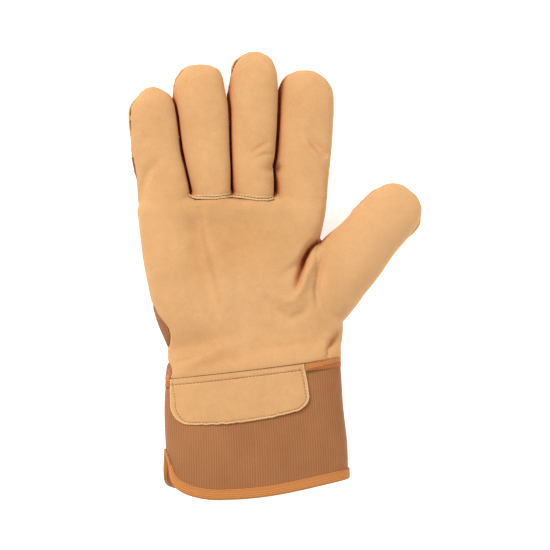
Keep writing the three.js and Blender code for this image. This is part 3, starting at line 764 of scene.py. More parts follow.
# %% Sink the seams
LIP = [0.95, 0.42, 0.12]  # mm down, for the points on the seam and the next two rows
WELT_LIP, TIP_LIP = 0.5, 0.3  # mm down, for the points on the seams at the welt and below the fingertips
away = np.full(len(points), len(LIP))
away[fixed] = 0
for ring in range(1, len(LIP)):
    near = ends[(away[ends] == ring - 1).any(axis=1)]
    away[near] = np.minimum(away[near], ring)
sink = np.array([*LIP, 0])[away]
sink[points_between((PALM, WELT), (RING_FRONT, WELT), (MIDDLE_FRONT, WELT))] = WELT_LIP
sink[points_between(*[(BACK, TIPS + k) for k in range(len(TIP_EDGES))])] = TIP_LIP
at_wrist = np.abs(points[:, 1] - wrist_seam(points[:, 0])) < 2.5
sink[at_wrist] = 0
on_top = at_wrist & (points[:, 2] > SIDE_SEAM + 2)
sink[on_top] = SEAM_DIP * bell(points[on_top, 1] - wrist_seam(points[on_top, 0]), DIP_WIDTH)
write_points(skin, read_points(skin) - read_points(skin, "normal") * sink[:, None] * MM)
above_welt = points[:, 1] - y_on(BASE_SEAM, points[:, 0])
raw = 0.7 * smoothstep(above_welt, WELT_HALF - 0.2, WELT_HALF) * smoothstep(-above_welt, -2.3, -1.6)
raw *= (points[:, 2] > SIDE_SEAM + 3) & np.isin(finger_of_points(skin), (1, 2))
store(skin, "raw_edge", raw)

# %% [markdown]
# Separating by material is the quickest way to take a mesh apart by number. The strip under the welt is
# thrown away. Each panel then gets its real wall with Solidify, inwards, so the glove is as hollow as the
# real one and its outside stays where it was drawn. On the real glove the back stands out past the front's
# edge in a few places and shows from above as a thin strip, so it is pushed out along a line there.

# %% Separate the panels and give them their walls
LEATHER_WALL, CANVAS_WALL = 2.2, 1.8  # mm
ON_SEAM = 0.3  # mm, how near to the wrist seam a point counts as on it
Push = namedtuple("Push", "path move_x move_y reach")
PUSHES = [
    Push([(51.3, 39.4), (57, 45.6), (63.1, 50.6)], -1.05, 1.15, 3.4),
    Push([(84.5, 28.0), (90, 32.5)], 1.0, -1.1, 3.2),
    Push([(-90.6, 103), (-90.4, 94)], -0.6, -0.1, 3.2),
    Push([(-89.1, 73.2), (-87, 64.8)], -0.9, 0.2, 3.0),
    Push([(-26.5, 130), (-24.5, 133.5)], -0.8, 0.4, 2.5),
]

for name in [*PANELS, "welt_strip"]:
    skin.data.materials.append(bpy.data.materials.new(name))
skin.data.polygons.foreach_set("material_index", panel.astype(np.int32))
with editing(skin):
    bpy.ops.mesh.separate(type="MATERIAL")
panels = {}
for piece in list(bpy.context.selected_objects):
    piece.name = piece.data.materials[0].name
    piece.data.materials.clear()
    panels[piece.name] = piece
bpy.data.objects.remove(panels.pop("welt_strip"))
for name in PANELS[BACK:]:
    points = read_points(panels[name])
    for push in PUSHES:
        share = bell(distance_to_path(points[:, :2] / MM, push.path)[0], push.reach)
        points[:, :2] += share[:, None] * np.array([push.move_x, push.move_y]) * MM
    write_points(panels[name], points)
for name in PANELS:
    give_wall(panels[name], CANVAS_WALL if name == "back_canvas" else LEATHER_WALL)
    points = read_points(panels[name])
    points[:, 2] = np.maximum(points[:, 2], 0)
    write_points(panels[name], points)
x, y, z = read_points(panels["palm_leather"]).T / MM
sharpen(panels["palm_leather"], np.abs(y - wrist_seam(x)) < ON_SEAM)
print("Panels:", {name: len(piece.data.polygons) for name, piece in panels.items()})

# %% [markdown]
# Shade is painted into the leather's colour wherever it faces other leather, in the folds and between the
# fingers: there it is made warmer and deeper. How shut in a point is, is found by looking out from it in a
# few directions, and it is kept on the points as the share of painted shade for the finish.

# %% See how shut in each point is, for the painted shade
LOOKS = 14  # directions, spread evenly over a ball by a spiral from its top to its foot
NEAR = 7 * MM  # how far each look goes
START_OUT = 0.3  # mm off the leather, where a look starts
OUTWARDS = 1.05  # above 1 no look goes into the leather

heights = 1 - (2 * np.arange(LOOKS) + 1) / LOOKS
spiral = np.arange(LOOKS) * math.pi * (3 - math.sqrt(5))
across = np.sqrt(1 - heights**2)
ball = np.column_stack([np.cos(spiral) * across, np.sin(spiral) * across, heights])
all_points, all_faces = [], []
for piece in panels.values():
    first = len(all_points)
    all_points += read_points(piece).tolist()
    all_faces += [[first + i for i in face.vertices] for face in piece.data.polygons]
surroundings = BVHTree.FromPolygons(all_points, all_faces)
looked = 0
for name in PANELS:
    if name == "back_canvas":
        continue
    points, normals = read_points(panels[name]), read_points(panels[name], "normal")
    met = np.zeros((len(points), 1))
    outer = len(points) // 2  # a wall's outer face has the first half of its points
    starts = (points + normals * START_OUT * MM)[:outer].tolist()
    for look in ball:
        aims = (normals[:outer] * OUTWARDS + look).tolist()
        met[:outer, 0] += [surroundings.ray_cast(*ray, NEAR)[0] is not None for ray in zip(starts, aims)]
    even_out(met, edge_ends(panels[name]), 1.0, 3)
    # painted shade: how shut in each point is, kept as the share of shade painted into the leather
    store(panels[name], "painted_shade_share", np.clip(met[:, 0] / LOOKS, 0, 1))
    looked += outer
print("Looked out from", looked, "points")

# %% [markdown]
# ## The safety cuff
# The cuff is a stiff sheet of duck canvas, rolled into a tube and slit on the little-finger side so that it
# can be torn off quickly. It is made the way it is sewn: a flat grid is shaped to the pattern first, with its
# slanted hem and rounded corners, and then rolled round the wrist. One function does the rolling. It takes a
# place on the pattern, as a length round the cuff, a height along Y and a distance out of the cloth.

# %% The wrist as a ring to roll things round
CUFF = [
    Row(-150, -67.8, 46.2, 1.35, 41.5),
    Row(-107, -68.0, 45.1, 1.35, 38),
    Row(-72, -68.5, 41.9, 1.35, 34.4),
    Row(-64, -67.9, 41.4, 1.35, 33.6),
    Row(-50, -67.2, 40.4, 1.35, 32.4),
]
SLIT_TURN = math.radians(4)  # from the side of the cuff towards the palm
ROLL_START = math.pi - SLIT_TURN
GIRTH_Y = -117  # where the girth is measured
turns = np.linspace(0, 2 * math.pi, 1441)


def ring_at(y, angle):
    """The ring's own point at a height and angle, without any distance out of it."""
    across, up = ring_section(angle, HAND_ROUNDNESS)
    left, right, low, high = (column(CUFF, part, y) for part in ("left", "right", "low", "high"))
    return np.stack([(left + right) / 2 + across * (right - left) / 2, low + up * (high - low)])


ring = ring_at(np.full(len(turns), GIRTH_Y), ROLL_START - turns)
turned_lengths = running(np.linalg.norm(np.diff(ring, axis=1), axis=0))
GIRTH = turned_lengths[-1]
THUMB_SIDE = np.interp(ROLL_START, turns, turned_lengths)  # length from the slit to the thumb side
print("The cuff is", round(GIRTH, 1), "mm round")


def angle_at(length):
    return ROLL_START - np.interp(np.mod(length, GIRTH), turned_lengths, turns)


def rolled(length, y, out):
    """Points in metres for places on the pattern, which are in mm."""
    angle = angle_at(length)
    behind, ahead = ring_at(y, angle - 0.02), ring_at(y, angle + 0.02)
    outward = np.stack([ahead[1] - behind[1], behind[0] - ahead[0]])
    outward /= np.linalg.norm(outward, axis=0)
    x, z = ring_at(y, angle) + outward * out
    return np.column_stack([x, y, z]) * MM


def ring_x(y, length):
    """X on the ring at a height and a length round it."""
    return ring_at(np.broadcast_to(y, np.shape(length)), angle_at(length))[0]


def palm_length(x, y):
    """The length round from the slit at which the palm side passes some X at some Y."""
    lengths = np.linspace(0, THUMB_SIDE, 600)
    reference = ring_x(-64.0, lengths)
    goal, length = x, np.interp(x, reference, lengths)
    for _ in range(4):
        goal = goal + x - ring_x(y, length)
        length = np.interp(goal, reference, lengths)
    return length


# %% [markdown]
# The hem is worked out from a few sizes: it slants up towards the thumb, more on the palm side than on the
# back, and each corner at the slit is a quarter of an ellipse. The slit has a half round at its top, and its
# two sides spread a little on their way down to the corners.

# %% The hem and the upper edge
HEM_Y, PALM_SLOPE, BACK_SLOPE = -125.1, 0.119, 0.07
THUMB_X = 45.5  # where the hem is at HEM_Y
PALM_BOW = 4.1  # mm, how far the hem hangs down half way along the palm side
SLIT_TOP = -109.5  # along Y
SLIT_LIP, SLIT_SPLAY = 1.4, 2.0  # mm, radius of the half round, and how far each side spreads
PALM_CORNER, BACK_CORNER = (-116.5, 37), (-118.5, 20)  # where each starts along Y, and how wide it is


def rounded_corner(y, corner_y, share):
    """A quarter of an ellipse, from a corner's own Y to the plain Y beside it."""
    along = np.clip(share, 0, 1)
    return y + (corner_y - y) * (1 - np.sqrt(1 - (1 - along) ** 2))


def hem(length):
    on_palm = length < THUMB_SIDE
    corner_start = np.where(on_palm, PALM_CORNER[0], BACK_CORNER[0])
    corner_width = np.where(on_palm, PALM_CORNER[1], BACK_CORNER[1])
    away = np.minimum(length, GIRTH - length)
    bow = np.where(on_palm, PALM_BOW * np.sin(math.pi * length / THUMB_SIDE) ** 2, 0)
    slope = np.where(on_palm, PALM_SLOPE, BACK_SLOPE)
    plain = HEM_Y + slope * (ring_x(GIRTH_Y, length) - THUMB_X) - bow
    y = rounded_corner(plain, corner_start, (away - SLIT_LIP - SLIT_SPLAY) / corner_width)
    down = np.clip((away - SLIT_LIP) / SLIT_SPLAY, 0, 1)
    y = np.where(down < 1, SLIT_TOP - SLIT_LIP + (corner_start - SLIT_TOP + SLIT_LIP) * down, y)
    lip = SLIT_TOP - SLIT_LIP + np.sqrt(np.maximum(SLIT_LIP**2 - away**2, 0))
    return np.where(away < SLIT_LIP, lip, y)


def upper_edge(length):
    """Y of the cuff's upper edge, just under the seam to the hand."""
    return wrist_seam(ring_x(-60.0, length)) - 0.3


lengths = np.linspace(0, GIRTH, 9)
print("Hem heights round the cuff:", np.round(hem(lengths)))


# %% [markdown]
# The cloth itself is a grid, denser near the slit where the corners are. Its two ends meet at the slit and
# are merged above it. Its UV map keeps the places on the flat pattern in metres, so the weave will follow the
# cloth. Along its upper edge it is pressed in a little, to make room for the wrist tape.

# %% Make and roll the cuff
def set_pattern(piece, across, along):
    """Stores each point's place on the flat pattern, in mm, as the piece's UV map in metres."""
    layer = piece.data.uv_layers[0] if piece.data.uv_layers else piece.data.uv_layers.new(name="UVMap")
    corners = np.empty(len(piece.data.loops), dtype=int)
    piece.data.loops.foreach_get("vertex_index", corners)
    places = np.column_stack([across[corners], along[corners]]) * MM
    layer.data.foreach_set("uv", places.astype(np.float32).ravel())


def pattern_grid(name, columns, rows):
    """A flat grid from 0 to 1 both ways, and those two shares for each of its points."""
    middle = (0.5, 0.5, 0)
    bpy.ops.mesh.primitive_grid_add(x_subdivisions=columns, y_subdivisions=rows, size=1, location=middle)
    piece = bpy.context.object
    piece.name = name
    bpy.ops.object.transform_apply(location=True, rotation=False, scale=False)
    points = read_points(piece)
    return piece, points[:, 0], points[:, 1]


def drift(points, height, across, seed):
    """Smooth unevenness in mm at points in metres."""
    shift = Vector((seed, 0, 0))
    return np.array([height * noise.noise(Vector(p) / (across * MM) + shift) for p in points])


def crowded(share, strength):
    """Shares from 0 to 1 that crowd towards both ends if the strength is above 0."""
    return share - strength * np.sin(2 * math.pi * share) / (2 * math.pi)


def close_up(piece):
    """Merges the points that meet where a piece has been rolled or folded onto itself."""
    with editing(piece):
        bpy.ops.mesh.remove_doubles(threshold=0.02 * MM)
        face_outwards()


CROWD = 0.85  # how strongly the columns crowd towards the slit
ALL_ROUND = GIRTH - 1e-6  # mm, just short of where the pattern starts again
FLARE, TUCK = 1.0, 2.0  # mm, the back's corner stands out at the slit and the palm side's lies in
UNDER_TAPE = 0.75  # mm, how far the upper edge is pressed in


def cloth_waves(length, y):
    """How far the cloth of the cuff stands out of its even roll, in mm."""
    length = np.mod(length, GIRTH)
    place = ring_at(y, angle_at(length)).T
    waves = drift(np.column_stack([place[:, 0], y, place[:, 1]]) * MM, 0.9, 34, seed=3)
    waves = waves * smoothstep(upper_edge(length) - y, 2, 20) * smoothstep(place[:, 1], 3, 7)
    low = smoothstep(-y, 108, 122)
    waves += FLARE * low * smoothstep(length, GIRTH - 22, GIRTH - 3) * (length > GIRTH / 2)
    return waves - TUCK * low * smoothstep(-length, -16, -2)


cuff, share, up = pattern_grid("cuff_canvas", 320, 44)
length = np.clip(GIRTH * crowded(share, CROWD), 0, ALL_ROUND)
y = hem(length) + (upper_edge(length) - hem(length)) * up
set_pattern(cuff, length, y)
under_tape = UNDER_TAPE * smoothstep(y - upper_edge(length), -5.0, -2.8)
write_points(cuff, rolled(length, y, cloth_waves(length, y) - under_tape))
close_up(cuff)
give_wall(cuff, CANVAS_WALL)
print("Cuff:", len(cuff.data.polygons), "faces")

# %% [markdown]
# ## The binding
# A woven tape is folded over the cuff's raw edge and sewn through, all round the hem and up both sides of
# the slit. It could be a curve with a flat profile, but a curve twists where the edge turns. So the tape is a
# long flat grid too: one way it follows the edge on the pattern, and the other way it goes up the outside,
# over the fold and up the inside. Towards the top of the slit it gets narrower, because it turns sharply
# there.

# %% Follow the edge and fold the tape over it
TAPE_WIDTH, TAPE_WALL, TAPE_GAP = 5.3, 1.0, 0.15  # mm, and the gap is between tape and cloth
TAPE_BULGE = 1.35  # mm, how far the fold stands out past the cloth
TAPE_UNFOLDED = 16  # mm across, on the UV map
NARROWEST = 0.35  # share of its width that is left at the top of the slit
edge_lengths = GIRTH * crowded(np.linspace(0, 1, 4001), CROWD)
edge_heights = hem(np.clip(edge_lengths, 0, ALL_ROUND))
edge_run = running(np.hypot(np.diff(edge_lengths), np.diff(edge_heights)))
EDGE_LENGTH = edge_run[-1]


def beside_edge(run, depth):
    """Places on the pattern: so far along the cuff's edge, and so deep into the cloth from it."""
    around = np.concatenate([run - 0.6, run + 0.6])
    over = np.floor(around / EDGE_LENGTH)
    inside = around - over * EDGE_LENGTH
    length = np.interp(inside, edge_run, edge_lengths) + over * GIRTH
    height = np.interp(inside, edge_run, edge_heights)
    (l0, l1), (y0, y1) = length.reshape(2, -1), height.reshape(2, -1)
    tangent = np.stack([l1 - l0, y1 - y0]) / np.hypot(l1 - l0, y1 - y0)
    return (l0 + l1) / 2 - tangent[1] * depth, (y0 + y1) / 2 + tangent[0] * depth


def folded_tape(across):
    """The tape's outer face for its two edges at 0 and 1: depth into the cloth and distance out of it."""
    top, bottom = TAPE_GAP + TAPE_WALL, -CANVAS_WALL - TAPE_GAP - TAPE_WALL
    middle, radius = (top + bottom) / 2, (top - bottom) / 2
    flat_share = TAPE_WIDTH / (2 * TAPE_WIDTH + math.pi * (radius + TAPE_BULGE) / 2)
    depth = np.maximum(TAPE_WIDTH * (1 - np.minimum(across, 1 - across) / flat_share), 0)
    turn = np.clip((across - flat_share) / (1 - 2 * flat_share), 0, 1) * math.pi
    return depth - TAPE_BULGE * np.sin(turn), middle + radius * np.cos(turn)


HEM_STITCH = 4.0  # mm in from the cloth's edge
DENT_WIDTH = 0.6  # mm, how far the dent that a row of stitches makes reaches to each side
binding, share, across = pattern_grid("cuff_binding_tape", 460, 26)
depth, out = folded_tape(across)
run = share * EDGE_LENGTH
depth *= NARROWEST + (1 - NARROWEST) * smoothstep(np.minimum(run, EDGE_LENGTH - run), 1, 15)
pressed = 0.28 * bell(depth - HEM_STITCH, DENT_WIDTH)
pressed += 0.3 * smoothstep(depth, TAPE_WIDTH - 0.7, TAPE_WIDTH)
out -= np.sign(out + CANVAS_WALL / 2) * pressed
set_pattern(binding, run, across * TAPE_UNFOLDED)
length, y = beside_edge(run, depth)
write_points(binding, rolled(length, y, out + cloth_waves(length, y)))
close_up(binding)
give_wall(binding, TAPE_WALL)
print("Binding:", round(EDGE_LENGTH), "mm of tape,", len(binding.data.polygons), "faces")

# %% [markdown]
# ## The tape over the wrist seam
# The same tape covers the seam between hand and cuff wherever the patch doesn't. It starts under the patch's
# edge, gets wider as it goes over the thumb side and underneath, and climbs a little towards its end on the
# palm side beside the little-finger edge. It lies as high as the faces under it. Both its edges are pressed
# down, the lower one more, and its lower part is marked for the finish, which makes that part darker.

# %% The wrist tape
TAPE_FROM_X, TAPE_TO_X = 18.6, -64.6  # on the palm side
TAPE_START_WIDTH, TAPE_WIDENS = 5.8, 2.4  # mm
TAPE_END_RISE, TAPE_END_SINKS = 1.3, 0.4  # mm, how much its end climbs, and how much lower it lies
TAPE_ROWS = (1.2, TAPE_START_WIDTH - 0.8)  # mm down from its upper edge, where the stitches are
OVER_CUFF = 0.3  # mm, how much higher it lies where it passes over the seam

tape_start = palm_length(TAPE_FROM_X, -58.0)
tape_length = GIRTH + palm_length(TAPE_TO_X, -66.0) - tape_start
wrist_tape, share, up = pattern_grid("wrist_seam_tape", 260, 12)
length = tape_start + tape_length * share
to_end = tape_length * (1 - share)


def tape_seat(length):
    """How much wider the wrist tape is than at its start, and where its upper edge lies."""
    wider = TAPE_WIDENS * smoothstep(length - tape_start, 0, 25)
    rise = TAPE_END_RISE * smoothstep(length - tape_start - tape_length, -45, -4)
    return wider, upper_edge(length) + 0.6 + 0.45 * wider + rise


def tape_level(length, y):
    """How far the faces under the tape stand over the cuff, in mm."""
    on_palm = np.where(length < THUMB_SIDE, 1, smoothstep(length, GIRTH - 3, GIRTH + 8))
    level = TAPE_TOP + on_palm * (seam_level(ring_x(y, length)) - TAPE_TOP)
    return level + OVER_CUFF * smoothstep(y - upper_edge(length), -0.8, 0.6)


wider, seat = tape_seat(length)
below = (1 - up) * (TAPE_START_WIDTH + wider)
edge_press = 0.2 * smoothstep(np.abs(up - 0.5), 0.38, 0.5) + 0.2 * smoothstep(1 - up, 0.3, 1)
for row in TAPE_ROWS:
    edge_press += 0.2 * bell(below - row, 0.5)
set_pattern(wrist_tape, length, below)
store(wrist_tape, "lower_band", smoothstep(below, 4.3, 4.9))
top = tape_level(length, seat - below) + 0.1 - TAPE_END_SINKS * smoothstep(-to_end, -40, -10)
write_points(wrist_tape, rolled(length, seat - below, top - edge_press))
give_wall(wrist_tape, TAPE_WALL)
print("Wrist tape:", round(tape_length), "mm long")

# %% [markdown]
# ## The pulse patch
# A soft leather patch protects the pulse, on the palm side of the cuff. It is one more flat grid on the
# pattern. Its top edge follows the wrist seam, its sides bulge a little and its lower corners are round. The
# cut edge is a bit ragged, and a raw leather edge is lighter than the face, so the points near it are marked
# for the finish. The grid is made thick while it is still flat and square.

# %% The patch
PATCH_WALL = 1.6  # mm
PATCH_FROM_X, PATCH_TO_X = -65.8, 21
PATCH_LEFT = [(-64.4, -93), (-64.4, -78), (-64.7, -69), (-64.4, -64)]
PATCH_RIGHT = [(21, -93), (21.1, -75), (20.2, -67), (19, -61), (18.1, -55.5)]
PATCH_FOOT = [
    (-66, -92.6), (-44.5, -92.4), (-31, -91.8), (-19.5, -90.6), (-3, -88), (12.5, -84.2), (22, -82.4),
]
Corner = namedtuple("Corner", "y width")
LEFT_CORNER, RIGHT_CORNER = Corner(-79.5, 12), Corner(-75, 9)
SIDE_POINTS = 20  # of the rim, on each side
ROW_GAP = 4.1  # mm between the two rows of stitches along the wrist seam
DENT = 0.42  # mm, how far a row of stitches presses the leather in
# how many mm inside the rim the third row lies, by its share of the way round
STITCH_INSET = [(0, 1.4), (0.1, 3.4), (0.17, 3.0), (0.26, 1.5), (0.8, 1.5), (0.9, 2.3), (1, 2.1)]


def plain_x(share):
    """X by the share of the way across the patch, before its sides bulge."""
    return PATCH_FROM_X + (PATCH_TO_X - PATCH_FROM_X) * share


def patch_foot(x):
    """The lower edge with its two corners, a little ragged, for X in mm."""
    ragged = drift(np.column_stack([x, np.zeros_like(x), np.zeros_like(x)]) * MM, 0.4, 3.2, seed=11)
    foot = y_on(PATCH_FOOT, x) + ragged * smoothstep(x, -62, -50) * smoothstep(-x, -19, -12)
    for corner, inward in ((LEFT_CORNER, x - PATCH_FROM_X), (RIGHT_CORNER, PATCH_TO_X - x)):
        foot = rounded_corner(foot, corner.y, inward / corner.width)
    return foot


def evenly(path, pitch):
    """Places and directions at an even pitch along a line of points in mm."""
    path = np.array(path, dtype=float)
    run = running(np.linalg.norm(np.diff(path, axis=0), axis=1))
    stops = np.linspace(0, run[-1], max(2, round(run[-1] / pitch) + 1))
    middles = (stops[1:] + stops[:-1]) / 2
    behind = np.column_stack([np.interp(middles - 0.3, run, part) for part in path.T])
    ahead = np.column_stack([np.interp(middles + 0.3, run, part) for part in path.T])
    return (behind + ahead) / 2, ahead - behind


def patch_x(share, y):
    return x_on(PATCH_LEFT, y) * (1 - share) + x_on(PATCH_RIGHT, y) * share


share = np.concatenate([np.zeros(SIDE_POINTS), np.linspace(0, 1, 600), np.ones(SIDE_POINTS)])
rim_y = patch_foot(plain_x(share))
rim_y[:SIDE_POINTS] = np.linspace(PATCH_LEFT[-1][1], LEFT_CORNER.y, SIDE_POINTS)
rim_y[-SIDE_POINTS:] = np.linspace(RIGHT_CORNER.y, PATCH_RIGHT[-1][1], SIDE_POINTS)
rim, rim_directions = evenly(np.column_stack([patch_x(share, rim_y), rim_y]), 0.2)
inward = np.column_stack([-rim_directions[:, 1], rim_directions[:, 0]])
inward /= np.linalg.norm(inward, axis=1)[:, None]
inset = np.interp(np.linspace(0, 1, len(rim)), *zip(*STITCH_INSET))
stitch_line = (rim + inward * inset[:, None])[::8]
stitch_line = stitch_line[stitch_line[:, 1] < wrist_seam(stitch_line[:, 0]) - 1.0]


def nearest(places, line):
    """Each place's distance to the nearest point of a line."""
    return np.array([np.hypot(*(line - place).T).min() for place in places])


patch = pattern_grid("pulse_patch_leather", 210, 90)[0]
apply_modifier(patch, "SOLIDIFY", thickness=1, offset=-1)
share, up, under = read_points(patch).T
share, up = crowded(share, 0.75), crowded(up, 0.6)
x = plain_x(share)
foot = patch_foot(x)
y = foot + (wrist_seam(x) - 0.05 - foot) * up
x = patch_x(share, y)
set_pattern(patch, x, y)
places = np.column_stack([x, y])
to_rim, to_row = nearest(places, rim), nearest(places, stitch_line)
store(patch, "raw_edge", smoothstep(-to_rim, -1.0, -0.5))
below_seam = wrist_seam(x) - y
pressed = DENT * bell(to_row, DENT_WIDTH) * (below_seam > DIP_WIDTH)
pressed = np.maximum(pressed, DENT * bell(below_seam - ROW_GAP, DENT_WIDTH))
pressed = np.maximum(pressed, SEAM_DIP * bell(below_seam, DIP_WIDTH))
pressed += 0.7 * smoothstep(-to_rim, -0.7, 0) ** 2
soft = drift(np.column_stack([x, y, np.zeros_like(x)]) * MM, 0.22, 9, seed=5)
face = PATCH_TOP - pressed + soft * smoothstep(below_seam, 0, 5)
write_points(patch, rolled(palm_length(x, y), y, np.where(under < -0.5, PATCH_TOP - PATCH_WALL, face)))
patch.data.shade_smooth()
sharpen(patch, np.abs(below_seam) < ON_SEAM)
print("Patch:", len(patch.data.polygons), "faces")

# %% [markdown]
# ## The welt
# The seam at the base of the ring and middle fingers gets the hardest wear, so a narrow strip of leather is
# folded into it as piping. It is a tube along the seam line again, extruded ring by ring from a flattened
# circle. Rays cast down on the whole skin, as it was before it was cut, say how high the seam lies there.

# %% The welt in the finger-base seam
WELT_WIDE, WELT_TALL = 1.62, 2.4  # mm
WELT_SUNK = 0.3  # mm, how far its top lies under the uncut skin
WELT_STEP = 0.7  # mm between its rings
WELT_RAW = 0.6  # how much of its leather looks like a raw edge

welt_x = np.arange(BASE_SEAM[0][0] - 0.4, BASE_SEAM[-1][0] + 0.5, WELT_STEP)
welt_y = y_on(BASE_SEAM, welt_x)


def skin_height(x, y):
    """Height in mm of the uncut skin over a place in mm."""
    hit = whole_skin.ray_cast(Vector((x, y, 100)) * MM, Vector((0, 0, -1)))
    return hit[0].z / MM


welt_z = np.array([skin_height(x, y) for x, y in zip(welt_x, welt_y)])
welt_z = np.convolve(np.pad(welt_z, 3, mode="edge"), np.ones(7) / 7, mode="valid") - WELT_SUNK
welt = new_disc("finger_base_piping", 12, (0, math.pi / 2, 0))
with editing(welt):
    bpy.ops.transform.resize(value=(1, WELT_WIDE / 2 * MM, WELT_TALL / 2 * MM), center_override=(0, 0, 0))
    place = Vector((0, 0, 0))
    for k, middle in enumerate(zip(welt_x, welt_y, welt_z - WELT_TALL / 2)):
        new_place = Vector(middle) * MM
        next_ring(new_place - place, first=k == 0)
        place = new_place
    face_outwards()
welt.data.shade_smooth()
store(welt, "raw_edge", np.full(len(welt.data.vertices), WELT_RAW))
print("Welt:", len(welt_x), "rings, height", round(welt_z.min(), 1), "to", round(welt_z.max(), 1), "mm")

# %% [markdown]
# ## Stitches
# Every visible row is a lockstitch: dark thread that dips into the leather between short straight dashes. One
# dash is modelled as a stretched sphere with a few faces and copied along each row, and a row is joined to
# one piece. Rows are given as lines on the pattern, so they roll round the wrist like everything else.

# %% One stitch, and rows of it
PITCH, DASH, THREAD = 2.15, 2.0, 0.42  # mm from stitch to stitch, and the length and thickness of one
ROW_SUNK = 0.34  # mm, how far the middle of a row lies under the patch's face

bpy.ops.mesh.primitive_uv_sphere_add(segments=6, ring_count=6, radius=0.5, rotation=(0, math.pi / 2, 0))
one_stitch = bpy.context.object
bpy.ops.object.transform_apply(location=True, rotation=True, scale=True)
one_stitch.name = "one_stitch"
one_stitch.data.shade_smooth()
STITCH_FACES = len(one_stitch.data.polygons)


def count(row):
    return len(row.data.polygons) // STITCH_FACES


def stitch_row(name, places, directions, length=DASH, thickness=THREAD):
    """Copies the one stitch to places in mm, each turned along its direction, and joins the copies."""
    copies = []
    for place, direction in zip(places, directions):
        copy = one_stitch.copy()
        copy.data = one_stitch.data.copy()
        turn = Vector(direction).to_track_quat("X", "Z").to_matrix().to_4x4()
        size = Matrix.Diagonal((length * MM, thickness * MM, thickness * MM, 1))
        copy.data.transform(Matrix.Translation(Vector(place) * MM) @ turn @ size)
        bpy.context.collection.objects.link(copy)
        copies.append(copy)
    make_active(copies[0])
    for copy in copies:
        copy.select_set(True)
    bpy.ops.object.join()
    row = bpy.context.object
    row.name = name
    return row


def pattern_stitches(name, path, out, **sizes):
    """A row on the wrist: path is X and Y on the palm side, out is its height over the cuff in mm."""
    places, directions = evenly(path, PITCH)
    ends = []
    for side in (-0.3, 0.3):
        flat = places + directions / np.linalg.norm(directions, axis=1)[:, None] * side
        ends.append(rolled(palm_length(flat[:, 0], flat[:, 1]), flat[:, 1], np.full(len(flat), out)) / MM)
    return stitch_row(name, (ends[0] + ends[1]) / 2, ends[1] - ends[0], **sizes)


def seam_row(name, to_x, below, sunk):
    """A row along the wrist seam, some mm below it and sunk into the patch."""
    x = np.linspace(-63.8, to_x, 60)
    return pattern_stitches(name, np.column_stack([x, wrist_seam(x) - below]), PATCH_TOP - sunk)


seam_stitches = seam_row("wrist_seam_stitches", 18, 0.1, 0.26)
second_stitches = seam_row("second_wrist_stitches", 15.8, ROW_GAP, ROW_SUNK)
print("Wrist rows:", count(seam_stitches), "and", count(second_stitches), "stitches")

# %% [markdown]
# The third row runs round the patch, inside its raw edge, and a short one closes its corner at the thumb
# side.

# %% Rows round the patch
patch_stitches = pattern_stitches("patch_edge_stitches", stitch_line, PATCH_TOP - ROW_SUNK)
corner_stitches = pattern_stitches(
    "patch_corner_stitches", [(14.6, -56.6), (16.2, -60.4)], PATCH_TOP - 0.1, thickness=0.34
)
print("Round the patch:", count(patch_stitches), "and", count(corner_stitches), "stitches")

# %% [markdown]
# The welt is sewn in along both of its sides, and the binding and the wrist tape are sewn down with thread of
# their own colour, which shows only as a fine line of beads.

# %% Rows at the welt and on the tapes
welt_rows = []
for side, name in ((-1, "welt_stitches_below"), (1, "welt_stitches_above")):
    path = np.column_stack([welt_x, welt_y + side * (WELT_HALF + 0.02), welt_z - 0.15])[1:-1]
    welt_rows.append(stitch_row(name, *evenly(path, PITCH), length=1.6, thickness=0.4))


def tape_stitches(name, length, y, out):
    """A row that follows a line round the cuff, given as places on the pattern."""
    path = rolled(length, y, out) / MM
    return stitch_row(name, *evenly(path, 2.4), length=1.7, thickness=0.34)


run = np.linspace(2, EDGE_LENGTH - 2, 1200)
hem_length, hem_y = beside_edge(run, np.full(len(run), HEM_STITCH))
hem_level = TAPE_GAP + TAPE_WALL - 0.22 + cloth_waves(hem_length, hem_y)
hem_stitches = tape_stitches("hem_stitches", hem_length, hem_y, hem_level)
length = np.linspace(tape_start + 1, tape_start + tape_length - 10, 700)
wrist_rows = []
for name, down in zip(("wrist_tape_upper_stitches", "wrist_tape_stitches"), TAPE_ROWS):
    row_y = tape_seat(length)[1] - down
    wrist_rows.append(tape_stitches(name, length, row_y, tape_level(length, row_y) - 0.05))
bpy.data.objects.remove(one_stitch)
print("Tape rows:", [count(row) for row in (hem_stitches, *wrist_rows)], "stitches")

# %% [markdown]
# ## Finishes
# A finish is a small program in nodes, and it reads better as arithmetic than as a picture of boxes. So one
# class wraps a node's output: adding or multiplying two of them adds a Math node, one method makes every
# other node, and a few more name what the finishes use most.


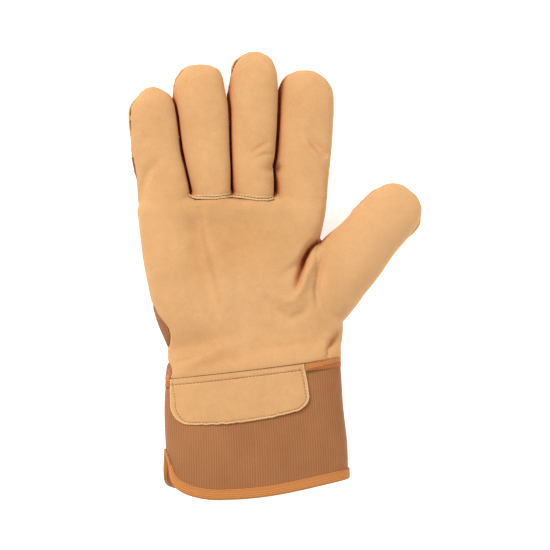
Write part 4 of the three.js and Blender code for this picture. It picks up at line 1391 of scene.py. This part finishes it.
# %% Node maths as expressions
class Socket:
    """An output of a node. Its arithmetic adds Math nodes, and its node method adds any other kind."""

    def __init__(self, tree, output=None):
        self.tree, self.output = tree, output

    def node(self, kind, settings=None, values=None, output=0):
        made = self.tree.nodes.new("ShaderNode" + kind)
        for name, value in (settings or {}).items():
            setattr(made, name, value)
        for name, value in (values or {}).items():
            if isinstance(value, Socket):
                self.tree.links.new(value.output, made.inputs[name])
            else:
                made.inputs[name].default_value = value
        return Socket(self.tree, made.outputs[output] if made.outputs else None)

    def maths(self, operation, *terms):
        return self.node("Math", {"operation": operation}, dict(enumerate(terms)))

    def __add__(self, other):
        return self.maths("ADD", self, other)

    def __sub__(self, other):
        return self.maths("SUBTRACT", self, other)

    def __rsub__(self, other):
        return self.maths("SUBTRACT", other, self)

    def __mul__(self, other):
        return self.maths("MULTIPLY", self, other)

    __radd__ = __add__
    __rmul__ = __mul__

    def own_place(self):
        """The object's own coordinates, in metres."""
        return self.node("TexCoord", output=3)

    def x_and_y(self):
        split = self.node("SeparateXYZ", {}, {0: self})
        return split, Socket(self.tree, split.output.node.outputs[1])

    def attribute(self, name):
        return self.node("Attribute", {"attribute_name": name}, output=2)

    def noise(self, place, scale, detail=2.0):
        """Smooth noise about zero, from -0.5 to 0.5."""
        return self.node("TexNoise", {}, {"Vector": place, "Scale": scale, "Detail": detail}) - 0.5

    def mixed(self, share, first, second):
        values = {0: share, 6: first, 7: second}
        return self.node("Mix", {"data_type": "RGBA", "clamp_factor": True}, values, output=2)

    def wave(self, value, pitch):
        """From 0 to 1 and back once for each pitch, as threads do."""
        return self.maths("COSINE", value * (2 * math.pi / pitch)) * 0.5 + 0.5


def finish(name, colour_and_height, bump, roughness, **even):
    """A material from a function that gives its colour and its height in mm."""
    material = bpy.data.materials.new(name)
    material.use_nodes = True
    material.node_tree.nodes.clear()
    start = Socket(material.node_tree)
    colour, height = colour_and_height(start)
    values = {"Base Color": colour, "Roughness": roughness}
    if bump:
        values["Normal"] = start.node("Bump", {}, {"Height": height, "Distance": MM, "Strength": bump})
    for setting, value in even.items():
        values[setting.replace("_", " ").title().replace("Ior", "IOR")] = value
    surface = start.node("BsdfPrincipled", {}, values)
    start.node("OutputMaterial", {}, {"Surface": surface})
    return material


# %% [markdown]
# The leather is a tan split hide with a short nap. Its colour is almost even: broad pale and dark clouds,
# then smaller ones, then the nap itself. The nap also makes the face rough and a little uneven, and gives it
# a faint sheen where it turns away. All of it is noise in the object's own coordinates, so it runs on across
# the seams like one hide. It gets a little paler towards the thumb, and a few wide places are softly paler or
# darker than the rest. Where the leather is shut in, shade is painted into its colour as a deeper, redder
# tone, and a raw edge is pale.

# %% Leather
LEATHER_LIGHT = (0.63, 0.352, 0.160, 1)
LEATHER_DARK = (0.50, 0.257, 0.097, 1)
RAW_LEATHER = (0.80, 0.53, 0.27, 1)
# painted shade: the deep red-brown that shut-in leather, in the folds and between the fingers, is tinted to
PAINTED_SHADE_LEATHER = (0.48, 0.14, 0.032, 1)

CLOUDS, SPOTS, NAP = 36, 190, 1300  # noise cells per metre
THUMB_PALER = 8  # how fast it gets paler per metre, beyond 30 mm along X
Blotch = namedtuple("Blotch", "x y radius paler")  # mm, and paler is below 0 for a darker place
ON_LEATHER = [
    Blotch(-20, 27, 39, -0.34),
    Blotch(-16, -18, 36, 0.30),
    Blotch(-42, -48, 24, -0.38),
    Blotch(66, 6, 50, 0.15),
]
ON_CANVAS = [Blotch(-52, -98, 32, 0.2)]


def blotched(start, blotches):
    """What soft round places, paler or darker than the rest, add to the share of the pale colour."""
    across, along = start.own_place().x_and_y()
    total = 0
    for blotch in blotches:
        x_away, y_away = across - blotch.x * MM, along - blotch.y * MM
        outwards = (x_away * x_away + y_away * y_away) * (blotch.radius * MM) ** -2
        total = start.maths("MAXIMUM", 1 - outwards, 0.0) * blotch.paler + total
    return total


def leather(start):
    place = start.own_place()
    clouds, spots, nap = (start.noise(place, scale, 3) for scale in (CLOUDS, SPOTS, NAP))
    paler = start.maths("MAXIMUM", place.x_and_y()[0] - 0.03, 0.0) * THUMB_PALER
    share = clouds * 0.9 + spots * 0.55 + nap * 1.1 + paler + blotched(start, ON_LEATHER) + 0.56
    plain = start.mixed(share, LEATHER_DARK, LEATHER_LIGHT)
    # painted shade: the leather is tinted deeper and redder where it is shut in
    face = start.mixed(start.attribute("painted_shade_share") * 1.15 - 0.1, plain, PAINTED_SHADE_LEATHER)
    raw = start.attribute("raw_edge") * (nap * 1.6 + 0.85)
    return start.mixed(raw, face, RAW_LEATHER), nap * 0.16 + spots * 0.25


leather_finish = finish("tan_leather", leather, 0.8, 0.9, sheen_weight=0.05, specular_ior_level=0.25)
print("Leather finish made")

# %% [markdown]
# Duck canvas is a plain weave of stout threads. The warp runs up the glove and shows as fine ribs, and each
# weft thread crosses over every second rib, half a step further along on the next one. The pattern reads the
# UV map, which holds places on the flat cloth, so the ribs bend with the cloth. The canvas back has no flat
# pattern, so its UV map is made by going round it: X plus the height gained on the sides. Up the little
# finger's side it is counted from the hand's edge, so that the ribs run along that edge. One wide place on
# the cuff is a little paler.

# %% Duck canvas
RIB, WEFT = 1.58 * MM, 1.2 * MM
WRIST_LEFT, WRIST_RIGHT = -67, 41  # mm along X, the sides of the hand at the wrist
CANVAS_LIGHT = (0.390, 0.161, 0.058, 1)
CANVAS_DARK = (0.215, 0.077, 0.023, 1)

points = read_points(panels["back_canvas"]) / MM
half = np.where(points[:, 0] < (WRIST_LEFT + WRIST_RIGHT) / 2, -1, 1)
side = np.interp(points[:, 1], [row.y for row in HAND[:12]], [row.left for row in HAND[:12]])
bent_in = (side - WRIST_LEFT) * smoothstep(points[:, 2], 0, 10) * (half < 0)
set_pattern(panels["back_canvas"], points[:, 0] - bent_in + half * points[:, 2], points[:, 1])


def canvas(start):
    pattern = start.node("UVMap")
    across, along = pattern.x_and_y()
    wander = start.noise(pattern, 260, 2) * (0.35 * MM)
    ribs = start.wave(across + wander, RIB)
    odd = start.wave(across + wander, 2 * RIB)
    over = start.wave(along, WEFT) * odd + start.wave(along + WEFT / 2, WEFT) * (1 - odd)
    height = ribs * 0.65 + over * 0.35
    flecks, tone = start.noise(pattern, 1600, 2), start.noise(pattern, 55, 3)
    share = height * 0.62 + flecks * 0.7 + tone * 0.5 + blotched(start, ON_CANVAS) + 0.21
    return start.mixed(share, CANVAS_DARK, CANVAS_LIGHT), height * 0.22 + flecks * 0.1


canvas_finish = finish("duck_canvas", canvas, 0.9, 0.85, sheen_weight=0.06, specular_ior_level=0.3)
print("Canvas ribs every", round(RIB / MM, 2), "mm")

# %% [markdown]
# The tape is woven with a few thick cords along it, so it shows lines that follow the edge, crossed by a
# much finer slanting weft. The thread is dark and plain on the leather, and takes the tape's colour on the
# tapes.

# %% Tape and thread
CORD, TAPE_WEFT = 1.33 * MM, 0.62 * MM
TAPE_LIGHT = (0.58, 0.220, 0.050, 1)
TAPE_DARK = (0.37, 0.117, 0.021, 1)
THREAD_LIGHT = (0.23, 0.085, 0.021, 1)
THREAD_DARK = (0.13, 0.042, 0.009, 1)


def tape(start):
    pattern = start.node("UVMap")
    along, across = pattern.x_and_y()
    cords, weft = start.wave(across, CORD), start.wave(along + across * 0.6, TAPE_WEFT)
    flecks = start.noise(pattern, 900, 2)
    share = cords * 0.75 + weft * 0.25 + flecks * 0.9 - start.attribute("lower_band") * 0.7 + 0.1
    return start.mixed(share, TAPE_DARK, TAPE_LIGHT), cords * 0.2 + weft * 0.07


def thread(dark, light):
    def colour_and_height(start):
        fuzz = start.noise(start.own_place(), 2500, 1)
        return start.mixed(fuzz + 0.5, dark, light), fuzz * 0.05

    return colour_and_height


tape_finish = finish("orange_tape", tape, 0.8, 0.8)
thread_finish = finish("dark_thread", thread(THREAD_DARK, THREAD_LIGHT), 0.5, 0.65)
tape_thread_finish = finish("orange_thread", thread(TAPE_DARK, TAPE_LIGHT), 0.5, 0.65)
print("Tape cords every", round(CORD / MM, 2), "mm")

# %% [markdown]
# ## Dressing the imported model
# Every visual piece now gets its finish, rides with the one rigid body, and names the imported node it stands
# for. The stitches are small extra pieces that stand for no node.

# %% Finish, ride and replace
Dress = namedtuple("Dress", "piece node slot finish")

pieces = [
    Dress(panels["palm_leather"], "palm_panel", "leather", leather_finish),
    Dress(panels["ring_finger_leather"], "ring_finger_front", "leather", leather_finish),
    Dress(panels["middle_finger_leather"], "middle_finger_front", "leather", leather_finish),
    Dress(panels["back_canvas"], "back_panel", "canvas", canvas_finish),
    Dress(panels["index_back_leather"], "index_finger_back", "leather", leather_finish),
    Dress(panels["thumb_back_leather"], "thumb_back", "leather", leather_finish),
    Dress(panels["little_tip_leather"], "little_fingertip", "leather", leather_finish),
    Dress(panels["ring_tip_leather"], "ring_fingertip", "leather", leather_finish),
    Dress(panels["middle_tip_leather"], "middle_fingertip", "leather", leather_finish),
    Dress(cuff, "cuff", "canvas", canvas_finish),
    Dress(binding, "cuff_binding", "binding_tape", tape_finish),
    Dress(wrist_tape, "wrist_tape", "binding_tape", tape_finish),
    Dress(patch, "pulse_patch", "leather", leather_finish),
    Dress(welt, "finger_base_welt", "leather", leather_finish),
    *[Dress(row, None, "thread", thread_finish)
      for row in (seam_stitches, second_stitches, patch_stitches, corner_stitches, *welt_rows)],
    *[Dress(row, None, "binding_tape", tape_thread_finish) for row in (hem_stitches, *wrist_rows)],
]
for dress in pieces:
    dress.piece.data.materials.clear()
    dress.piece.data.materials.append(dress.finish)
    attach(dress.piece, "root")
    if dress.node:
        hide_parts(dress.node)
print("Pieces:", len(pieces), "of them stitches:", sum(dress.node is None for dress in pieces))

# %% [markdown]
# ## Floor, light and camera
# The glove was photographed from straight above on plain white with no shadow round it, as on a light table,
# so the floor glows a little. An even sky gives soft shade in the folds, one large soft lamp at the upper
# left gives the fingers their roundness, and a weaker one keeps the other side open. The camera looks
# straight down from about two metres with a long lens.

# %% Stage, lamps and camera
FLOOR_SIZE = 4.0
FLOOR_WHITE = (0.93, 0.93, 0.93, 1)
FLOOR_GLOW = 0.72
FLOOR_DROP = 0.0002  # metres under the glove, so that the two don't touch
SKY_STRENGTH = 0.435
CAMERA_LENS, CAMERA_SENSOR = 200, 36
CAMERA_Y = 0.25 * MM
FRAME_WIDTH = 343.75 * MM  # of the photograph at the glove's middle height
MIDDLE_HEIGHT = 14 * MM

bpy.ops.mesh.primitive_plane_add(size=FLOOR_SIZE, location=(0, 0, -FLOOR_DROP))
floor = bpy.context.object
floor.name = "studio_floor"
bpy.ops.object.transform_apply(location=True, rotation=False, scale=False)
glow = {"emission_color": FLOOR_WHITE, "emission_strength": FLOOR_GLOW}
floor.data.materials.append(finish("floor_paint", lambda start: (FLOOR_WHITE, 0), 0, 0.9, **glow))


def soft_lamp(name, place, size, power):
    """A square lamp that faces the middle of the glove."""
    bpy.ops.object.light_add(type="AREA", location=place)
    lamp = bpy.context.object
    lamp.name = name
    lamp.data.size, lamp.data.energy = size, power
    lamp.rotation_euler = (-Vector(place)).to_track_quat("-Z", "Y").to_euler()


soft_lamp("key_lamp", (-1.6, 1.5, 1.9), size=1.3, power=82)
soft_lamp("fill_lamp", (1.3, -0.3, 1.4), size=1.2, power=16)
world = bpy.data.worlds.new("studio_air")
world.use_nodes = True
sky = world.node_tree.nodes["Background"].inputs
sky["Color"].default_value = (1, 1, 1, 1)
sky["Strength"].default_value = SKY_STRENGTH
bpy.context.scene.world = world

height = MIDDLE_HEIGHT + FRAME_WIDTH * CAMERA_LENS / CAMERA_SENSOR
bpy.ops.object.camera_add(location=(0, CAMERA_Y, height), rotation=(0, 0, 0))
camera = bpy.context.object
camera.data.lens, camera.data.sensor_width = CAMERA_LENS, CAMERA_SENSOR
bpy.context.scene.camera = camera
bpy.context.scene.view_settings.view_transform = "Standard"
print("Camera", round(height, 3), "m above the floor")
